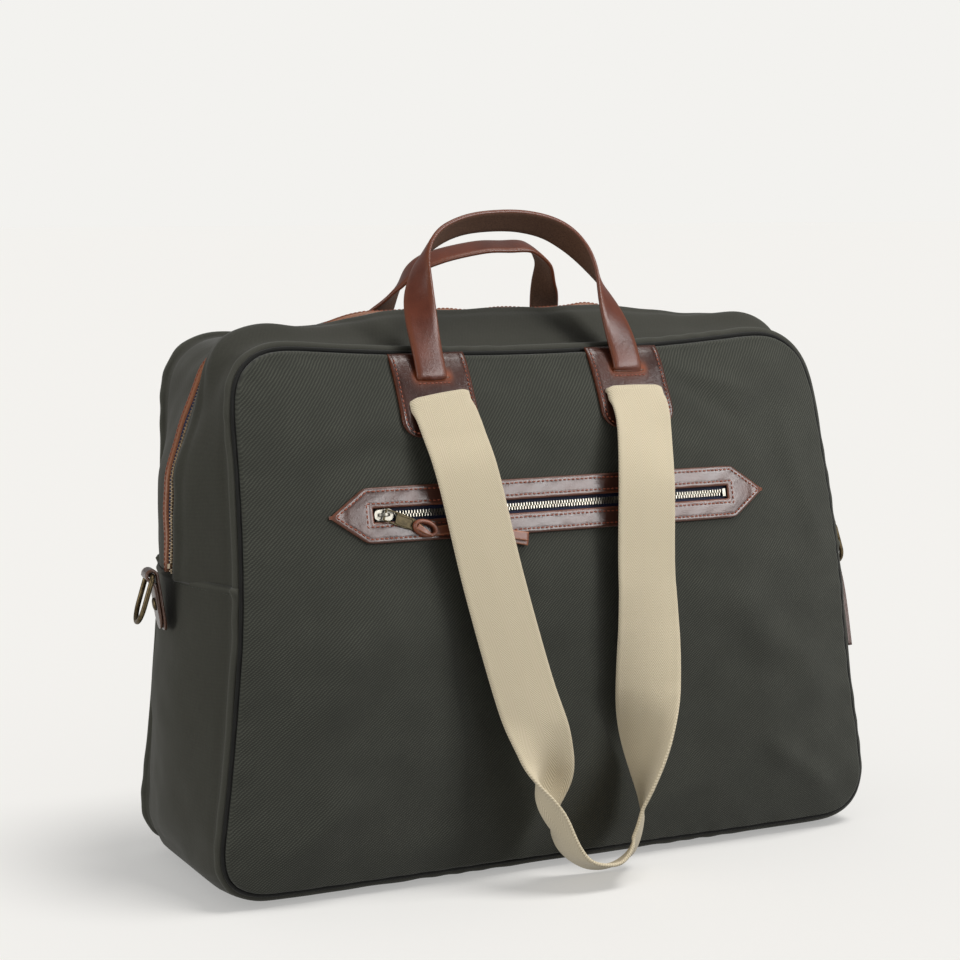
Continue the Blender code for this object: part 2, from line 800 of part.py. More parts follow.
def build_pocket_bag():
    """The pocket's pouch, folded at its foot, hanging between the panel and its lining."""
    xs = spread(POCKET_X - 0.150, POCKET_X + 0.150, 5)
    front_rows = spread(0.2460, 0.1100, 5)
    rear_rows = spread(0.1100, 0.2740, 6)
    outer = []
    inner = []
    for x in xs:
        near = []
        far = []
        for z in front_rows:
            y = front_surface(x, z)
            near.append(Vector((x, y + 0.0042, z)))
            far.append(Vector((x, y + 0.0050, z)))
        y = front_surface(x, 0.106)
        near.append(Vector((x, y + 0.0050, 0.1060)))
        far.append(Vector((x, y + 0.0062, 0.1068)))
        near.append(Vector((x, y + 0.0100, 0.1060)))
        far.append(Vector((x, y + 0.0092, 0.1068)))
        for z in rear_rows:
            y = front_surface(x, z)
            near.append(Vector((x, y + 0.0108, z)))
            far.append(Vector((x, y + 0.0100, z)))
        outer.append(near)
        inner.append(far)
    grid_solid("pocket_pouch", outer, inner, lambda i, j: True, False, BLACK, 0.9)


# --- patches, handles and carrying loops ---


def surface_of(sign):
    return front_surface if sign < 0 else rear_surface


def detail_x(sign):
    """The middle line of a face's patches, handle and carrying loop."""
    return FRONT_DETAIL_X if sign < 0 else REAR_DETAIL_X


def build_patch(name, sign, centre):
    surface = surface_of(sign)
    rises = [0.0, 0.0020, 0.0055, 0.0120, 0.0210, 0.0310, 0.0410]
    rows = [PATCH_BOTTOM + rise for rise in rises] + [PATCH_TOP]
    radius = 0.012
    outer = []
    inner = []
    for z in rows:
        drop = max(0.0, PATCH_BOTTOM + radius - z)
        half = PATCH_HALF - radius + math.sqrt(max(radius**2 - drop**2, 0.0))
        near = []
        far = []
        for k in range(5):
            x = centre + half * (k / 2 - 1)
            y = surface(x, z)
            near.append(Vector((x, y + sign * (0.0006 + PATCH_THICK), z)))
            far.append(Vector((x, y + sign * 0.0006, z)))
        outer.append(near)
        inner.append(far)
    grid_solid(name, outer, inner, lambda i, j: True, False, LEATHER, 0.5)


FRONT_HANDLE = (
    (-0.0780, 0.0), (-0.0785, 0.038), (-0.0765, 0.062), (-0.0695, 0.084), (-0.0560, 0.0985),
    (-0.0360, 0.1075), (-0.0130, 0.1110), (0.0130, 0.1105), (0.0360, 0.1040),
    (0.0530, 0.0900), (0.0640, 0.0700), (0.0700, 0.0450), (0.0740, 0.0200), (0.0750, 0.0),
)
REAR_HANDLE = (
    (-0.0765, 0.0), (-0.0730, 0.0150), (-0.0624, 0.0341), (-0.0543, 0.0539),
    (-0.0437, 0.0725), (-0.0256, 0.0824), (0.0057, 0.0897), (0.0272, 0.0903),
    (0.0477, 0.0893), (0.0639, 0.0759), (0.0700, 0.0556), (0.0749, 0.0331),
    (0.0765, 0.0150), (0.0765, 0.0),
)


def handle_points(sign, route, lean_back, free):
    """The handle's middle line: upright for the free height, then leaning over the bag."""
    centre = detail_x(sign)
    foot_y = surface_of(sign)(centre + PATCH_X, SLOT_Z) + sign * (0.0016 + PATCH_THICK)
    foot_y += sign * HANDLE_THICK / 2
    points = []
    for x, rise in route:
        over = max(0.0, rise - free)
        y = foot_y - sign * over * math.sin(lean_back)
        z = SLOT_Z + min(rise, free) + over * math.cos(lean_back)
        points.append(Vector((centre + x, y, z)))
    return points, Vector((centre, foot_y, SLOT_Z))


def twisted_strap(name, points, plane_out, width, thick, turn, count, colour, rough):
    """A flat strap in a plane: its legs face out, and it turns over towards its middle."""
    path = smooth_path(points, count)
    reach = [0.0]
    for i in range(1, count):
        reach.append(reach[-1] + (path[i] - path[i - 1]).length)
    rings = []
    for i, point in enumerate(path):
        way = path[min(i + 1, count - 1)] - path[max(i - 1, 0)]
        way.normalize()
        outward = plane_out.cross(way).normalized()
        angle = turn(reach[i] / reach[-1])
        normal = plane_out * math.cos(angle) + outward * math.sin(angle)
        across = way.cross(normal).normalized()
        rings.append(flat_ring(point, across, normal, width, thick))
    return sweep(name, rings, False, colour, rough, smooth=False)


def build_handle(name, sign, route, lean_back, free):
    points, origin = handle_points(sign, route, lean_back, free)
    out = Vector((0.0, sign * math.cos(lean_back), math.sin(lean_back)))
    if free > 0.0:
        out = Vector((0.0, sign, 0.0))

    def turn(share):
        return math.radians(108) * ramp(min(share, 1 - share), 0.06, 0.36)

    if sign > 0:
        points = points[::-1]
    made = twisted_strap(
        name, points, out, HANDLE_WIDTH, HANDLE_THICK, turn, 37, LEATHER, 0.5
    )
    set_origin(made, origin)


FRONT_HANG = (
    (0.0, 0.1170), (0.05, 0.1130), (0.10, 0.1085), (0.21, 0.0940), (0.2573, 0.0880),
    (0.277, 0.0825), (0.309, 0.0662),
)
REAR_HANG = (
    (0.0, 0.1400), (0.05, 0.1365), (0.10, 0.1340), (0.21, 0.1300), (0.2573, 0.1285),
    (0.277, 0.1275), (0.309, 0.1250),
)
WEBBING = (
    (-0.0760, FOLD_Z), (-0.0730, 0.3090), (-0.0690, 0.2800), (-0.0570, 0.2120),
    (-0.0395, 0.1400), (-0.0270, 0.1000), (-0.0210, 0.0740), (-0.0175, 0.0460),
    (-0.0070, 0.0220), (0.0110, 0.0122), (0.0270, 0.0128), (0.0410, 0.0235),
    (0.0490, 0.0450), (0.0525, 0.0700), (0.0550, 0.1050), (0.0600, 0.1650),
    (0.0620, 0.2180), (0.0670, 0.2730), (0.0750, 0.3120), (0.0760, FOLD_Z),
)


WEBBING_TURN = (
    (0.0, 0), (0.33, 0), (0.375, 16), (0.40, 46), (0.43, 86), (0.466, 97), (0.507, 116),
    (0.544, 130), (0.577, 124), (0.60, 106), (0.613, 96), (0.64, 74), (0.663, 57), (0.70, 30),
    (0.76, 8), (0.80, 0), (1.0, 0),
)


def turn_of(share):
    for (before, low), (after, high) in zip(WEBBING_TURN, WEBBING_TURN[1:]):
        if share <= after:
            return math.radians(low + (high - low) * (share - before) / (after - before))
    return 0.0


def webbing_route(sign):
    """The carrying loop's middle line, from its left end down to the floor and up again."""
    centre = detail_x(sign)
    top = surface_of(sign)(centre + PATCH_X, FOLD_Z)
    top += sign * (0.0012 + PATCH_THICK + 0.0029)
    hang = FRONT_HANG if sign < 0 else REAR_HANG
    points = []
    for x, z in WEBBING:
        y = sign * hang_at(hang, z, abs(top))
        points.append(Vector((centre + x if sign < 0 else centre - x, y, z)))
    return points, top


def hang_at(rows, z, top):
    table = rows + ((FOLD_Z, top),)
    for (za, ya), (zb, yb) in zip(table, table[1:]):
        if z <= zb:
            return ya + (yb - ya) * (z - za) / (zb - za)
    return top


def build_webbing(name, sign):
    points, top = webbing_route(sign)
    out = Vector((0.0, sign, 0.0))
    made = twisted_strap(
        name, points, out, WEBBING_WIDTH, WEBBING_THICK, turn_of, 49, ECRU, 0.95
    )
    set_origin(made, Vector((detail_x(sign), top, FOLD_Z)))


# --- ring tabs ---


def tab_frame(left):
    """Place of the tab's loop and the ways along, across and out of the tab, which leans out."""
    top, up, front, out = side_frame(TAB_TOP_Z, left)
    low, _, _, _ = side_frame(TAB_TOP_Z - TAB_LENGTH, left)
    up = (top - low).normalized()
    out = (out - up * out.dot(up)).normalized()
    front = (front - up * front.dot(up) - out * front.dot(out)).normalized()
    leaning = up * math.cos(TAB_LEAN) + out * math.sin(TAB_LEAN)
    out = out * math.cos(TAB_LEAN) - up * math.sin(TAB_LEAN)
    turned = front * math.cos(TAB_YAW) + out * math.sin(TAB_YAW)
    out = out * math.cos(TAB_YAW) - front * math.sin(TAB_YAW)
    return low + leaning * (top - low).length, leaning, turned, out


def build_tab(side, left):
    origin, up, front, out = tab_frame(left)
    base = 0.0012 + TAB_HALF * math.sin(TAB_YAW)
    near = base + TAB_THICK / 2
    radius = LOOP_RADIUS + TAB_THICK / 2
    path = [(near, -TAB_LENGTH), (near, -TAB_LENGTH * 0.5), (near, -0.004)]
    centre = near + radius
    path.append((near, 0.0))
    for k in range(1, 8):
        turn = math.pi - math.pi * k / 8 * 1.16
        path.append((centre + radius * math.cos(turn), radius * math.sin(turn)))
    far = near + TAB_THICK + GAP
    path += [(far + 0.0012, -0.0052), (far, -0.0085), (far, -0.022), (far, -0.0355)]
    rings = []
    for i, (a, b) in enumerate(path):
        before = path[max(i - 1, 0)]
        after = path[min(i + 1, len(path) - 1)]
        way = Vector((after[0] - before[0], after[1] - before[1])).normalized()
        normal = Vector((-way.y, way.x))
        half = TAB_HALF
        if i == len(path) - 1:
            half = TAB_HALF * 0.55
        ring = []
        for s, t in ((-1, -1), (1, -1), (1, 1), (-1, 1)):
            p = a + normal.x * t * TAB_THICK / 2
            q = b + normal.y * t * TAB_THICK / 2
            ring.append(origin + out * p + up * q + front * (half * s))
        rings.append(ring)
    sweep("ring_tab_" + side, rings, False, LEATHER, 0.5)
    frame = (origin, front, up, out)
    head = [(0.0042 * math.cos(t), -0.0200 + 0.0042 * math.sin(t)) for t in circle(14)]
    level = far + TAB_THICK / 2 + GAP
    prism("rivet_" + side, head, frame, level, level + 0.0014, OLD_BRASS, 0.4, 1.0)
    hub = origin + out * centre
    hang = (out * RING_TILT - up).normalized()
    face = front.cross(hang).normalized()
    rings = []
    half = RING_HALF_WIDE - RING_WIRE
    long = RING_LONG - 2 * RING_WIRE
    corner = 0.010
    outline = []
    for cx, cy, start in (
        (half - 0.0035, 0.0035, 270),
        (half - corner, long - corner, 0),
        (-half + corner, long - corner, 90),
        (-half + 0.0035, 0.0035, 180),
    ):
        r = 0.0035 if cy < 0.004 else corner
        for k in range(5):
            turn = math.radians(start + 90 * k / 4)
            outline.append((cx + r * math.cos(turn), cy + r * math.sin(turn)))
    total = len(outline)
    for i, (a, b) in enumerate(outline):
        c = hub + front * a + hang * b
        nxt = outline[(i + 1) % total]
        prv = outline[i - 1]
        way = (front * (nxt[0] - prv[0]) + hang * (nxt[1] - prv[1])).normalized()
        side_way = way.cross(face).normalized()
        rings.append(round_ring(c, side_way, face, RING_WIRE, 7))
    ring = sweep("ring_" + side, rings, True, OLD_BRASS, 0.4, 1.0, True)
    set_origin(ring, hub)


clear_scene()
build_panels()
build_ridge("front_seam_ridge", front_y, 1)
build_ridge("rear_seam_ridge", rear_y, -1)
build_gussets()
build_gusset_lining()
build_base_board()
build_main_zip()
build_main_slider()
build_pocket()
build_pocket_bag()
for row, face in (("front", -1), ("rear", 1)):
    build_patch(row + "_patch_left", face, detail_x(face) - PATCH_X)
    build_patch(row + "_patch_right", face, detail_x(face) + PATCH_X)
build_handle("front_handle", -1, FRONT_HANDLE, math.radians(23), 0.0)
build_handle("rear_handle", 1, REAR_HANDLE, math.radians(28.8), 0.024)
build_webbing("front_webbing", -1)
build_webbing("rear_webbing", 1)
build_tab("left", True)
build_tab("right", False)
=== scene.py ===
"""Weekender bag in heavy olive twill with leather trim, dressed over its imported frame."""

import json
import math

import bmesh
import bpy
import numpy as np
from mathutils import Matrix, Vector

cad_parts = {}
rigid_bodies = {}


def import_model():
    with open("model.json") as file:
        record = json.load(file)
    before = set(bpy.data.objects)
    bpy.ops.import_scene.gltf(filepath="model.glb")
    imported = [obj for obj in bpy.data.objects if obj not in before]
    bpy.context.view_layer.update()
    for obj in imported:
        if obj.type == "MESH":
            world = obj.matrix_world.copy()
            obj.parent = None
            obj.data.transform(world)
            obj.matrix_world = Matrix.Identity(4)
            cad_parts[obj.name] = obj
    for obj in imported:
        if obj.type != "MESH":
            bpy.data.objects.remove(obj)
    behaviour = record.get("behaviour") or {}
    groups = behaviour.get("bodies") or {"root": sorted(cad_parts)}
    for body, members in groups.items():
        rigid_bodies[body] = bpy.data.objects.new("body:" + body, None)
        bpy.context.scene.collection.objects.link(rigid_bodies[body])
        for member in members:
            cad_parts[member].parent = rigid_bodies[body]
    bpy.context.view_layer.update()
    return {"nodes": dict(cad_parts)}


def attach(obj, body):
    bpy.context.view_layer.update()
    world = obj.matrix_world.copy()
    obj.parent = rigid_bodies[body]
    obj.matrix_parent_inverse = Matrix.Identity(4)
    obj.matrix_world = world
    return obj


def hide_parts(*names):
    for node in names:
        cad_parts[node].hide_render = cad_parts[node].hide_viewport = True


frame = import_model()

# --- dimensions, as in the frame ---

BASE_HALF = 0.2563
BASE_SPREAD = 0.004
BASE_SPREAD_Z = 0.070
FLARE = 0.1421
FLARE_CURVE = 0.1754
FRONT_SEAM_Y = -0.070
REAR_SEAM_Y = 0.098
LEAN_START = 0.173
LEAN_SPAN = 0.20
FRONT_LEAN = 0.048
REAR_LEAN = 0.014
TOP_Z = 0.369
TOP_SAG = 0.009
SEAM_LIFT = 0.0065
TOP_CORNER = 0.036
BASE_CORNER = 0.026
PANEL_BULGE = 0.014
CENTRE_Z = 0.195
SIDE_BULGE = 0.0230
TOP_BULGE = 0.0250
SIDE_BULGE_Z = 0.15
EDGE = 0.0103
SIDE_SEAM_Z = 0.2145
ZIP_END_Z = 0.214
ZIP_SHIFT = -0.010
HALF_GUSSET_FROM = 0.0124
MAIN_SLIDER_Z = 0.235
MAIN_PULL_SWING = math.radians(40)
MAIN_LACE_END = (0.2640, -0.040, 0.129)
POCKET = Vector((-0.005, -0.070758, 0.2573))
POCKET_TILT = math.atan(0.24)
POCKET_TIP = 0.168
POCKET_CORNER = 0.1425
POCKET_HALF = 0.0187
WINDOW_X = 0.1375
WINDOW_HALF = 0.0047
POCKET_SLIDER_X = -0.1300
PULL_DROOP = math.radians(22)
DETAIL_X = {-1: -0.008, 1: 0.008}
PATCH_X = 0.0765
PATCH_HALF = 0.0285
PATCH_TOP = 0.3608
PATCH_BOTTOM = 0.3063
PATCH_THICK = 0.0028
HANDLE_WIDTH = 0.022
HANDLE_THICK = 0.0034
SLOT_Z = 0.3478
FOLD_Z = 0.3308
WEBBING_WIDTH = 0.045
TAB_HALF = 0.0100
TAB_TOP_Z = 0.2155
TAB_LENGTH = 0.0380
TAB_THICK = 0.0020
TAB_LEAN = math.radians(12)
TAB_YAW = math.radians(9)
LOOP_RADIUS = 0.0024
RING_WIRE = 0.0017
RING_HALF_WIDE = 0.0142
RING_LONG = 0.0360
RING_TILT = 0.48

FRONT_HANDLE = (
    (-0.0780, 0.0), (-0.0785, 0.038), (-0.0765, 0.062), (-0.0695, 0.084), (-0.0560, 0.0985),
    (-0.0360, 0.1075), (-0.0130, 0.1110), (0.0130, 0.1105), (0.0360, 0.1040),
    (0.0530, 0.0900), (0.0640, 0.0700), (0.0700, 0.0450), (0.0740, 0.0200), (0.0750, 0.0),
)
REAR_HANDLE = (
    (-0.0765, 0.0), (-0.0730, 0.0150), (-0.0624, 0.0341), (-0.0543, 0.0539),
    (-0.0437, 0.0725), (-0.0256, 0.0824), (0.0057, 0.0897), (0.0272, 0.0903),
    (0.0477, 0.0893), (0.0639, 0.0759), (0.0700, 0.0556), (0.0749, 0.0331),
    (0.0765, 0.0150), (0.0765, 0.0),
)
FRONT_HANG = (
    (0.0, 0.1170), (0.05, 0.1130), (0.10, 0.1085), (0.21, 0.0940), (0.2573, 0.0880),
    (0.277, 0.0825), (0.309, 0.0662),
)
REAR_HANG = (
    (0.0, 0.1400), (0.05, 0.1365), (0.10, 0.1340), (0.21, 0.1300), (0.2573, 0.1285),
    (0.277, 0.1275), (0.309, 0.1250),
)
WEBBING = (
    (-0.0760, FOLD_Z), (-0.0730, 0.3090), (-0.0690, 0.2800), (-0.0570, 0.2120),
    (-0.0395, 0.1400), (-0.0270, 0.1000), (-0.0210, 0.0740), (-0.0175, 0.0460),
    (-0.0070, 0.0220), (0.0110, 0.0122), (0.0270, 0.0128), (0.0410, 0.0235),
    (0.0490, 0.0450), (0.0525, 0.0700), (0.0550, 0.1050), (0.0600, 0.1650),
    (0.0620, 0.2180), (0.0670, 0.2730), (0.0750, 0.3120), (0.0760, FOLD_Z),
)
WEBBING_TURN = (
    (0.0, 0), (0.33, 0), (0.375, 18), (0.40, 48), (0.43, 84), (0.466, 92), (0.507, 110),
    (0.544, 130), (0.577, 124), (0.60, 106), (0.613, 96), (0.64, 74), (0.663, 57), (0.70, 30),
    (0.76, 8), (0.80, 0), (1.0, 0),
)


# --- materials ---


class Nodes:
    """Short calls for building a node material."""

    def __init__(self, name):
        self.material = bpy.data.materials.new(name)
        self.material.use_nodes = True
        self.tree = self.material.node_tree
        self.shader = self.tree.nodes["Principled BSDF"]
        self.where = self.tree.nodes.new("ShaderNodeTexCoord")

    def link(self, source, target):
        self.tree.links.new(source, target)

    def put(self, socket, value):
        if hasattr(value, "is_linked") or isinstance(value, bpy.types.NodeSocket):
            self.link(value, socket)
        else:
            socket.default_value = value

    def math(self, kind, a, b=0.0, clamp=False):
        node = self.tree.nodes.new("ShaderNodeMath")
        node.operation = kind
        node.use_clamp = clamp
        self.put(node.inputs[0], a)
        self.put(node.inputs[1], b)
        return node.outputs[0]

    def noise(self, scale, detail=3.0, rough=0.5, space="Object", stretch=None):
        node = self.tree.nodes.new("ShaderNodeTexNoise")
        node.inputs["Scale"].default_value = scale
        node.inputs["Detail"].default_value = detail
        node.inputs["Roughness"].default_value = rough
        source = self.where.outputs[space]
        if stretch:
            mapping = self.tree.nodes.new("ShaderNodeMapping")
            mapping.inputs["Scale"].default_value = stretch
            self.link(source, mapping.inputs["Vector"])
            source = mapping.outputs[0]
        self.link(source, node.inputs["Vector"])
        return node.outputs["Fac"]

    def cells(self, scale, feature="F1", space="Object"):
        node = self.tree.nodes.new("ShaderNodeTexVoronoi")
        node.feature = feature
        node.inputs["Scale"].default_value = scale
        self.link(self.where.outputs[space], node.inputs["Vector"])
        return node.outputs["Distance"]

    def axes(self, space="Object"):
        node = self.tree.nodes.new("ShaderNodeSeparateXYZ")
        self.link(self.where.outputs[space], node.inputs[0])
        return node.outputs

    def waves(self, weights, pitch, space="Object", shift=None):
        """A sine across the plane, 0 to 1, one period per pitch in metres."""
        parts = self.axes(space)
        total = None
        for part, weight in zip(parts, weights):
            if weight:
                term = self.math("MULTIPLY", part, weight * 2 * math.pi / pitch)
                total = term if total is None else self.math("ADD", total, term)
        if shift is not None:
            total = self.math("ADD", total, shift)
        wave = self.math("SINE", total)
        return self.math("ADD", self.math("MULTIPLY", wave, 0.5), 0.5)

    def ramp(self, value, stops):
        node = self.tree.nodes.new("ShaderNodeValToRGB")
        band = node.color_ramp
        while len(band.elements) < len(stops):
            band.elements.new(0.5)
        for element, (place, colour) in zip(band.elements, stops):
            element.position = place
            element.color = (*colour, 1.0)
        self.link(value, node.inputs[0])
        return node.outputs[0]

    def mix(self, share, a, b, kind="MIX"):
        node = self.tree.nodes.new("ShaderNodeMix")
        node.data_type = "RGBA"
        node.blend_type = kind
        self.put(node.inputs[0], share)
        self.put(node.inputs[6], a if not isinstance(a, tuple) else (*a, 1.0))
        self.put(node.inputs[7], b if not isinstance(b, tuple) else (*b, 1.0))
        return node.outputs[2]

    def attribute(self, name):
        node = self.tree.nodes.new("ShaderNodeAttribute")
        node.attribute_name = name
        return node.outputs["Fac"]

    def bump(self, height, distance, strength=1.0, after=None):
        node = self.tree.nodes.new("ShaderNodeBump")
        node.inputs["Distance"].default_value = distance
        node.inputs["Strength"].default_value = strength
        self.link(height, node.inputs["Height"])
        if after is not None:
            self.link(after, node.inputs["Normal"])
        return node.outputs[0]

    def finish(self, colour, roughness, normal, metallic=0.0, specular=0.5, sheen=0.0):
        self.put(self.shader.inputs["Base Color"], colour)
        self.put(self.shader.inputs["Roughness"], roughness)
        self.shader.inputs["Metallic"].default_value = metallic
        self.shader.inputs["Specular IOR Level"].default_value = specular
        self.shader.inputs["Sheen Weight"].default_value = sheen
        self.link(normal, self.shader.inputs["Normal"])
        return self.material


def canvas_material(name, contrast, tint):
    n = Nodes(name)
    wobble = n.math("MULTIPLY", n.noise(180.0, 3.0), 4.2)
    twill = n.waves((0.68, 0.30, -0.72), 0.00165, shift=wobble)
    yarn = n.waves((0.44, 0.60, 0.90), 0.00130, shift=n.math("MULTIPLY", n.noise(300.0, 2.0), 2.5))
    weave = n.math("MULTIPLY", twill, n.math("ADD", n.math("MULTIPLY", yarn, 0.55), 0.45))
    patchy = n.math("ADD", n.math("MULTIPLY", n.noise(36.0, 3.0), 0.9), 0.35)
    weave = n.math("MULTIPLY", weave, patchy)
    level = n.math("ADD", n.math("MULTIPLY", weave, contrast), 0.40 * (1 - contrast))
    fade = n.noise(7.0, 4.0, 0.6)
    slub = n.noise(620.0, 3.0, stretch=(1.0, 1.0, 0.35))
    low = tuple(c * k for c, k in zip((0.0190, 0.0205, 0.0155), tint))
    high = tuple(c * k for c, k in zip((0.1150, 0.1180, 0.0940), tint))
    soft = tuple(c * k for c, k in zip((0.056, 0.059, 0.0465), tint))
    base = n.ramp(level, [(0.0, low), (1.0, high)])
    faded = n.mix(n.math("MULTIPLY", fade, 0.30), base, soft)
    flecked = n.mix(n.math("MULTIPLY", slub, 0.42), faded, low)
    worn = n.mix(n.math("MULTIPLY", n.attribute("wear"), 0.30), flecked, (0.105, 0.108, 0.088))
    normal = n.bump(n.noise(30.0, 3.0), 0.0012, 0.35)
    normal = n.bump(weave, 0.00035, 0.5 * contrast + 0.1, normal)
    normal = n.bump(n.noise(900.0, 3.0), 0.00020, 0.4, normal)
    return n.finish(worn, 0.88, normal, specular=0.22, sheen=0.10)


def leather_material(name, dark, light, edge, roughness=0.40, grain=1.0, shine=0.5):
    n = Nodes(name)
    patches = n.noise(28.0, 5.0, 0.62)
    colour = n.ramp(patches, [(0.30, dark), (0.72, light)])
    streak = n.noise(160.0, 3.0, stretch=(1.0, 1.0, 0.25))
    colour = n.mix(n.math("MULTIPLY", streak, 0.30), colour, dark)
    colour = n.mix(n.attribute("wear"), colour, edge)
    pores = n.cells(1500.0)
    creases = n.noise(420.0, 4.0, 0.6)
    normal = n.bump(creases, 0.00035, 0.45 * grain)
    normal = n.bump(pores, 0.00012, 0.5 * grain, normal)
    rough = n.math("ADD", n.math("MULTIPLY", patches, 0.22), roughness - 0.10)
    return n.finish(colour, rough, normal, specular=shine)


def flesh_material():
    n = Nodes("leather_flesh_side")
    fibres = n.noise(900.0, 5.0, 0.7)
    colour = n.ramp(fibres, [(0.3, (0.060, 0.026, 0.014)), (0.8, (0.150, 0.074, 0.042))])
    return n.finish(colour, 0.85, n.bump(fibres, 0.0003, 0.7), specular=0.3)


def webbing_material():
    n = Nodes("ecru_herringbone")
    parts = n.axes("UV")
    zig = n.math("PINGPONG", parts[0], 0.0064)
    slope = n.math("ADD", n.math("MULTIPLY", parts[1], 0.55), n.math("MULTIPLY", zig, 0.83))
    wave = n.math("SINE", n.math("MULTIPLY", slope, 2 * math.pi / 0.00115))
    rib = n.math("ADD", n.math("MULTIPLY", wave, 0.5), 0.5)
    cross = n.math("SINE", n.math("MULTIPLY", parts[1], 2 * math.pi / 0.0007))
    weave = n.math("MULTIPLY", rib, n.math("ADD", n.math("MULTIPLY", cross, 0.2), 0.8))
    tone = n.noise(22.0, 4.0, 0.6)
    base = n.ramp(weave, [(0.0, (0.420, 0.355, 0.245)), (0.55, (0.570, 0.498, 0.360)),
                          (1.0, (0.640, 0.568, 0.420))])
    colour = n.mix(n.math("MULTIPLY", tone, 0.30), base, (0.540, 0.470, 0.335))
    fuzz = n.noise(1500.0, 2.0)
    normal = n.bump(weave, 0.00022, 0.6)
    normal = n.bump(fuzz, 0.0001, 0.4, normal)
    return n.finish(colour, 0.92, normal, specular=0.2, sheen=0.15)


def tape_material(name, dark, light, pitch=0.0009):
    n = Nodes(name)
    weave = n.waves((0.7, 0.5, 0.7), pitch)
    colour = n.ramp(weave, [(0.0, dark), (1.0, light)])
    return n.finish(colour, 0.85, n.bump(weave, 0.0002, 0.6), specular=0.25)


def metal_material(name, dark, light, roughness):
    n = Nodes(name)
    blotches = n.noise(252.0, 4.0, 0.65)
    colour = n.ramp(blotches, [(0.32, dark), (0.66, light)])
    scratches = n.noise(700.0, 3.0, 0.6, stretch=(1.0, 0.15, 1.0))
    rough = n.math("ADD", n.math("MULTIPLY", blotches, 0.25), roughness - 0.12)
    normal = n.bump(scratches, 0.00005, 0.5)
    return n.finish(colour, rough, normal, metallic=1.0)


def thread_material(name, dark, light):
    n = Nodes(name)
    ply = n.waves((1.0, 0.8, 1.0), 0.0006)
    colour = n.ramp(ply, [(0.0, dark), (1.0, light)])
    return n.finish(colour, 0.65, n.bump(ply, 0.0001, 0.6), specular=0.35)


def board_material():
    n = Nodes("pressed_board")
    grain = n.noise(700.0, 4.0, 0.6)
    colour = n.ramp(grain, [(0.3, (0.014, 0.014, 0.013)), (0.7, (0.030, 0.029, 0.027))])
    return n.finish(colour, 0.8, n.bump(grain, 0.0002, 0.5), specular=0.3)


CANVAS = canvas_material("olive_twill", 0.95, (0.76, 0.76, 0.75))
# The gussets' twill: the face cloth made darker and warmer with a fainter weave; the darkening is painted shade.
SHADED_GUSSET_TWILL = canvas_material("olive_twill_gusset_painted_shade", 0.08, (0.62, 0.59, 0.57))
# Near-black twill for the tubes in the seam grooves: painted shade for the grooves' shadow.
SEAM_SHADE = canvas_material("seam_groove_painted_shade", 0.15, (0.10, 0.10, 0.10))
LEATHER = leather_material(
    "brown_leather", (0.034, 0.0115, 0.0080), (0.088, 0.030, 0.019), (0.165, 0.050, 0.022), 0.34, 0.8
)
PATCH_LEATHER = leather_material(
    "patch_leather", (0.026, 0.0085, 0.0060), (0.070, 0.021, 0.012), (0.240, 0.060, 0.020), 0.24, 0.8, 0.36
)
HANDLE_LEATHER = leather_material(
    "handle_leather", (0.056, 0.0115, 0.0050), (0.135, 0.031, 0.013), (0.125, 0.034, 0.014), 0.36, 1.0, 0.34
)
COGNAC = leather_material(
    "cognac_leather", (0.085, 0.026, 0.010), (0.190, 0.062, 0.024), (0.230, 0.082, 0.032), 0.48
)
LACE_LEATHER = leather_material(
    "lace_leather", (0.110, 0.030, 0.013), (0.250, 0.075, 0.032), (0.300, 0.110, 0.050), 0.46
)
DARK_LACE = leather_material(
    "dark_lace_leather", (0.022, 0.009, 0.006), (0.050, 0.019, 0.012), (0.080, 0.030, 0.018), 0.5
)
TAB_LEATHER = leather_material(
    "tab_leather", (0.016, 0.0085, 0.0065), (0.042, 0.019, 0.013), (0.110, 0.046, 0.024), 0.30, 0.8
)
FLESH = flesh_material()
ECRU = webbing_material()
NAVY = tape_material("navy_tape", (0.006, 0.008, 0.022), (0.018, 0.024, 0.060))
LINING = tape_material("dark_lining", (0.010, 0.010, 0.009), (0.026, 0.026, 0.023), 0.0012)
BRASS = metal_material("pale_brass", (0.22, 0.16, 0.09), (0.60, 0.48, 0.31), 0.34)
PALE_METAL = metal_material("pale_tooth_metal", (0.26, 0.24, 0.20), (0.46, 0.43, 0.37), 0.42)
OLD_BRASS = metal_material("antique_brass", (0.040, 0.030, 0.017), (0.125, 0.094, 0.050), 0.44)
NICKEL = metal_material("warm_nickel", (0.085, 0.080, 0.068), (0.20, 0.19, 0.165), 0.40)
PULL_BRASS = metal_material("dark_pull_brass", (0.017, 0.014, 0.009), (0.050, 0.040, 0.023), 0.46)
RUST_THREAD = thread_material("rust_thread", (0.150, 0.034, 0.016), (0.330, 0.085, 0.040))
OLIVE_THREAD = thread_material("olive_thread", (0.020, 0.023, 0.017), (0.050, 0.055, 0.042))
BOARD = board_material()


# --- the bag's form, on arrays ---


def ease(value, low, high):
    t = np.clip((np.asarray(value, float) - low) / (high - low), 0.0, 1.0)
    return t * t * (3 - 2 * t)


def hill(value, wide, at=0.0, power=2):
    """A smooth rise to one at a place; a higher power makes a flatter top."""
    return np.exp(-(((value - at) / wide) ** power))


def half_width(z):
    wide = BASE_SPREAD * np.maximum(0.0, 1 - z / BASE_SPREAD_Z) ** 2
    return BASE_HALF - FLARE * z + FLARE_CURVE * z * z + wide


def lean(z):
    return np.maximum(0.0, (z - LEAN_START) / LEAN_SPAN) ** 1.5


def front_y(z):
    return FRONT_SEAM_Y + FRONT_LEAN * lean(z)


def rear_y(z):
    return REAR_SEAM_Y + REAR_LEAN * lean(z)


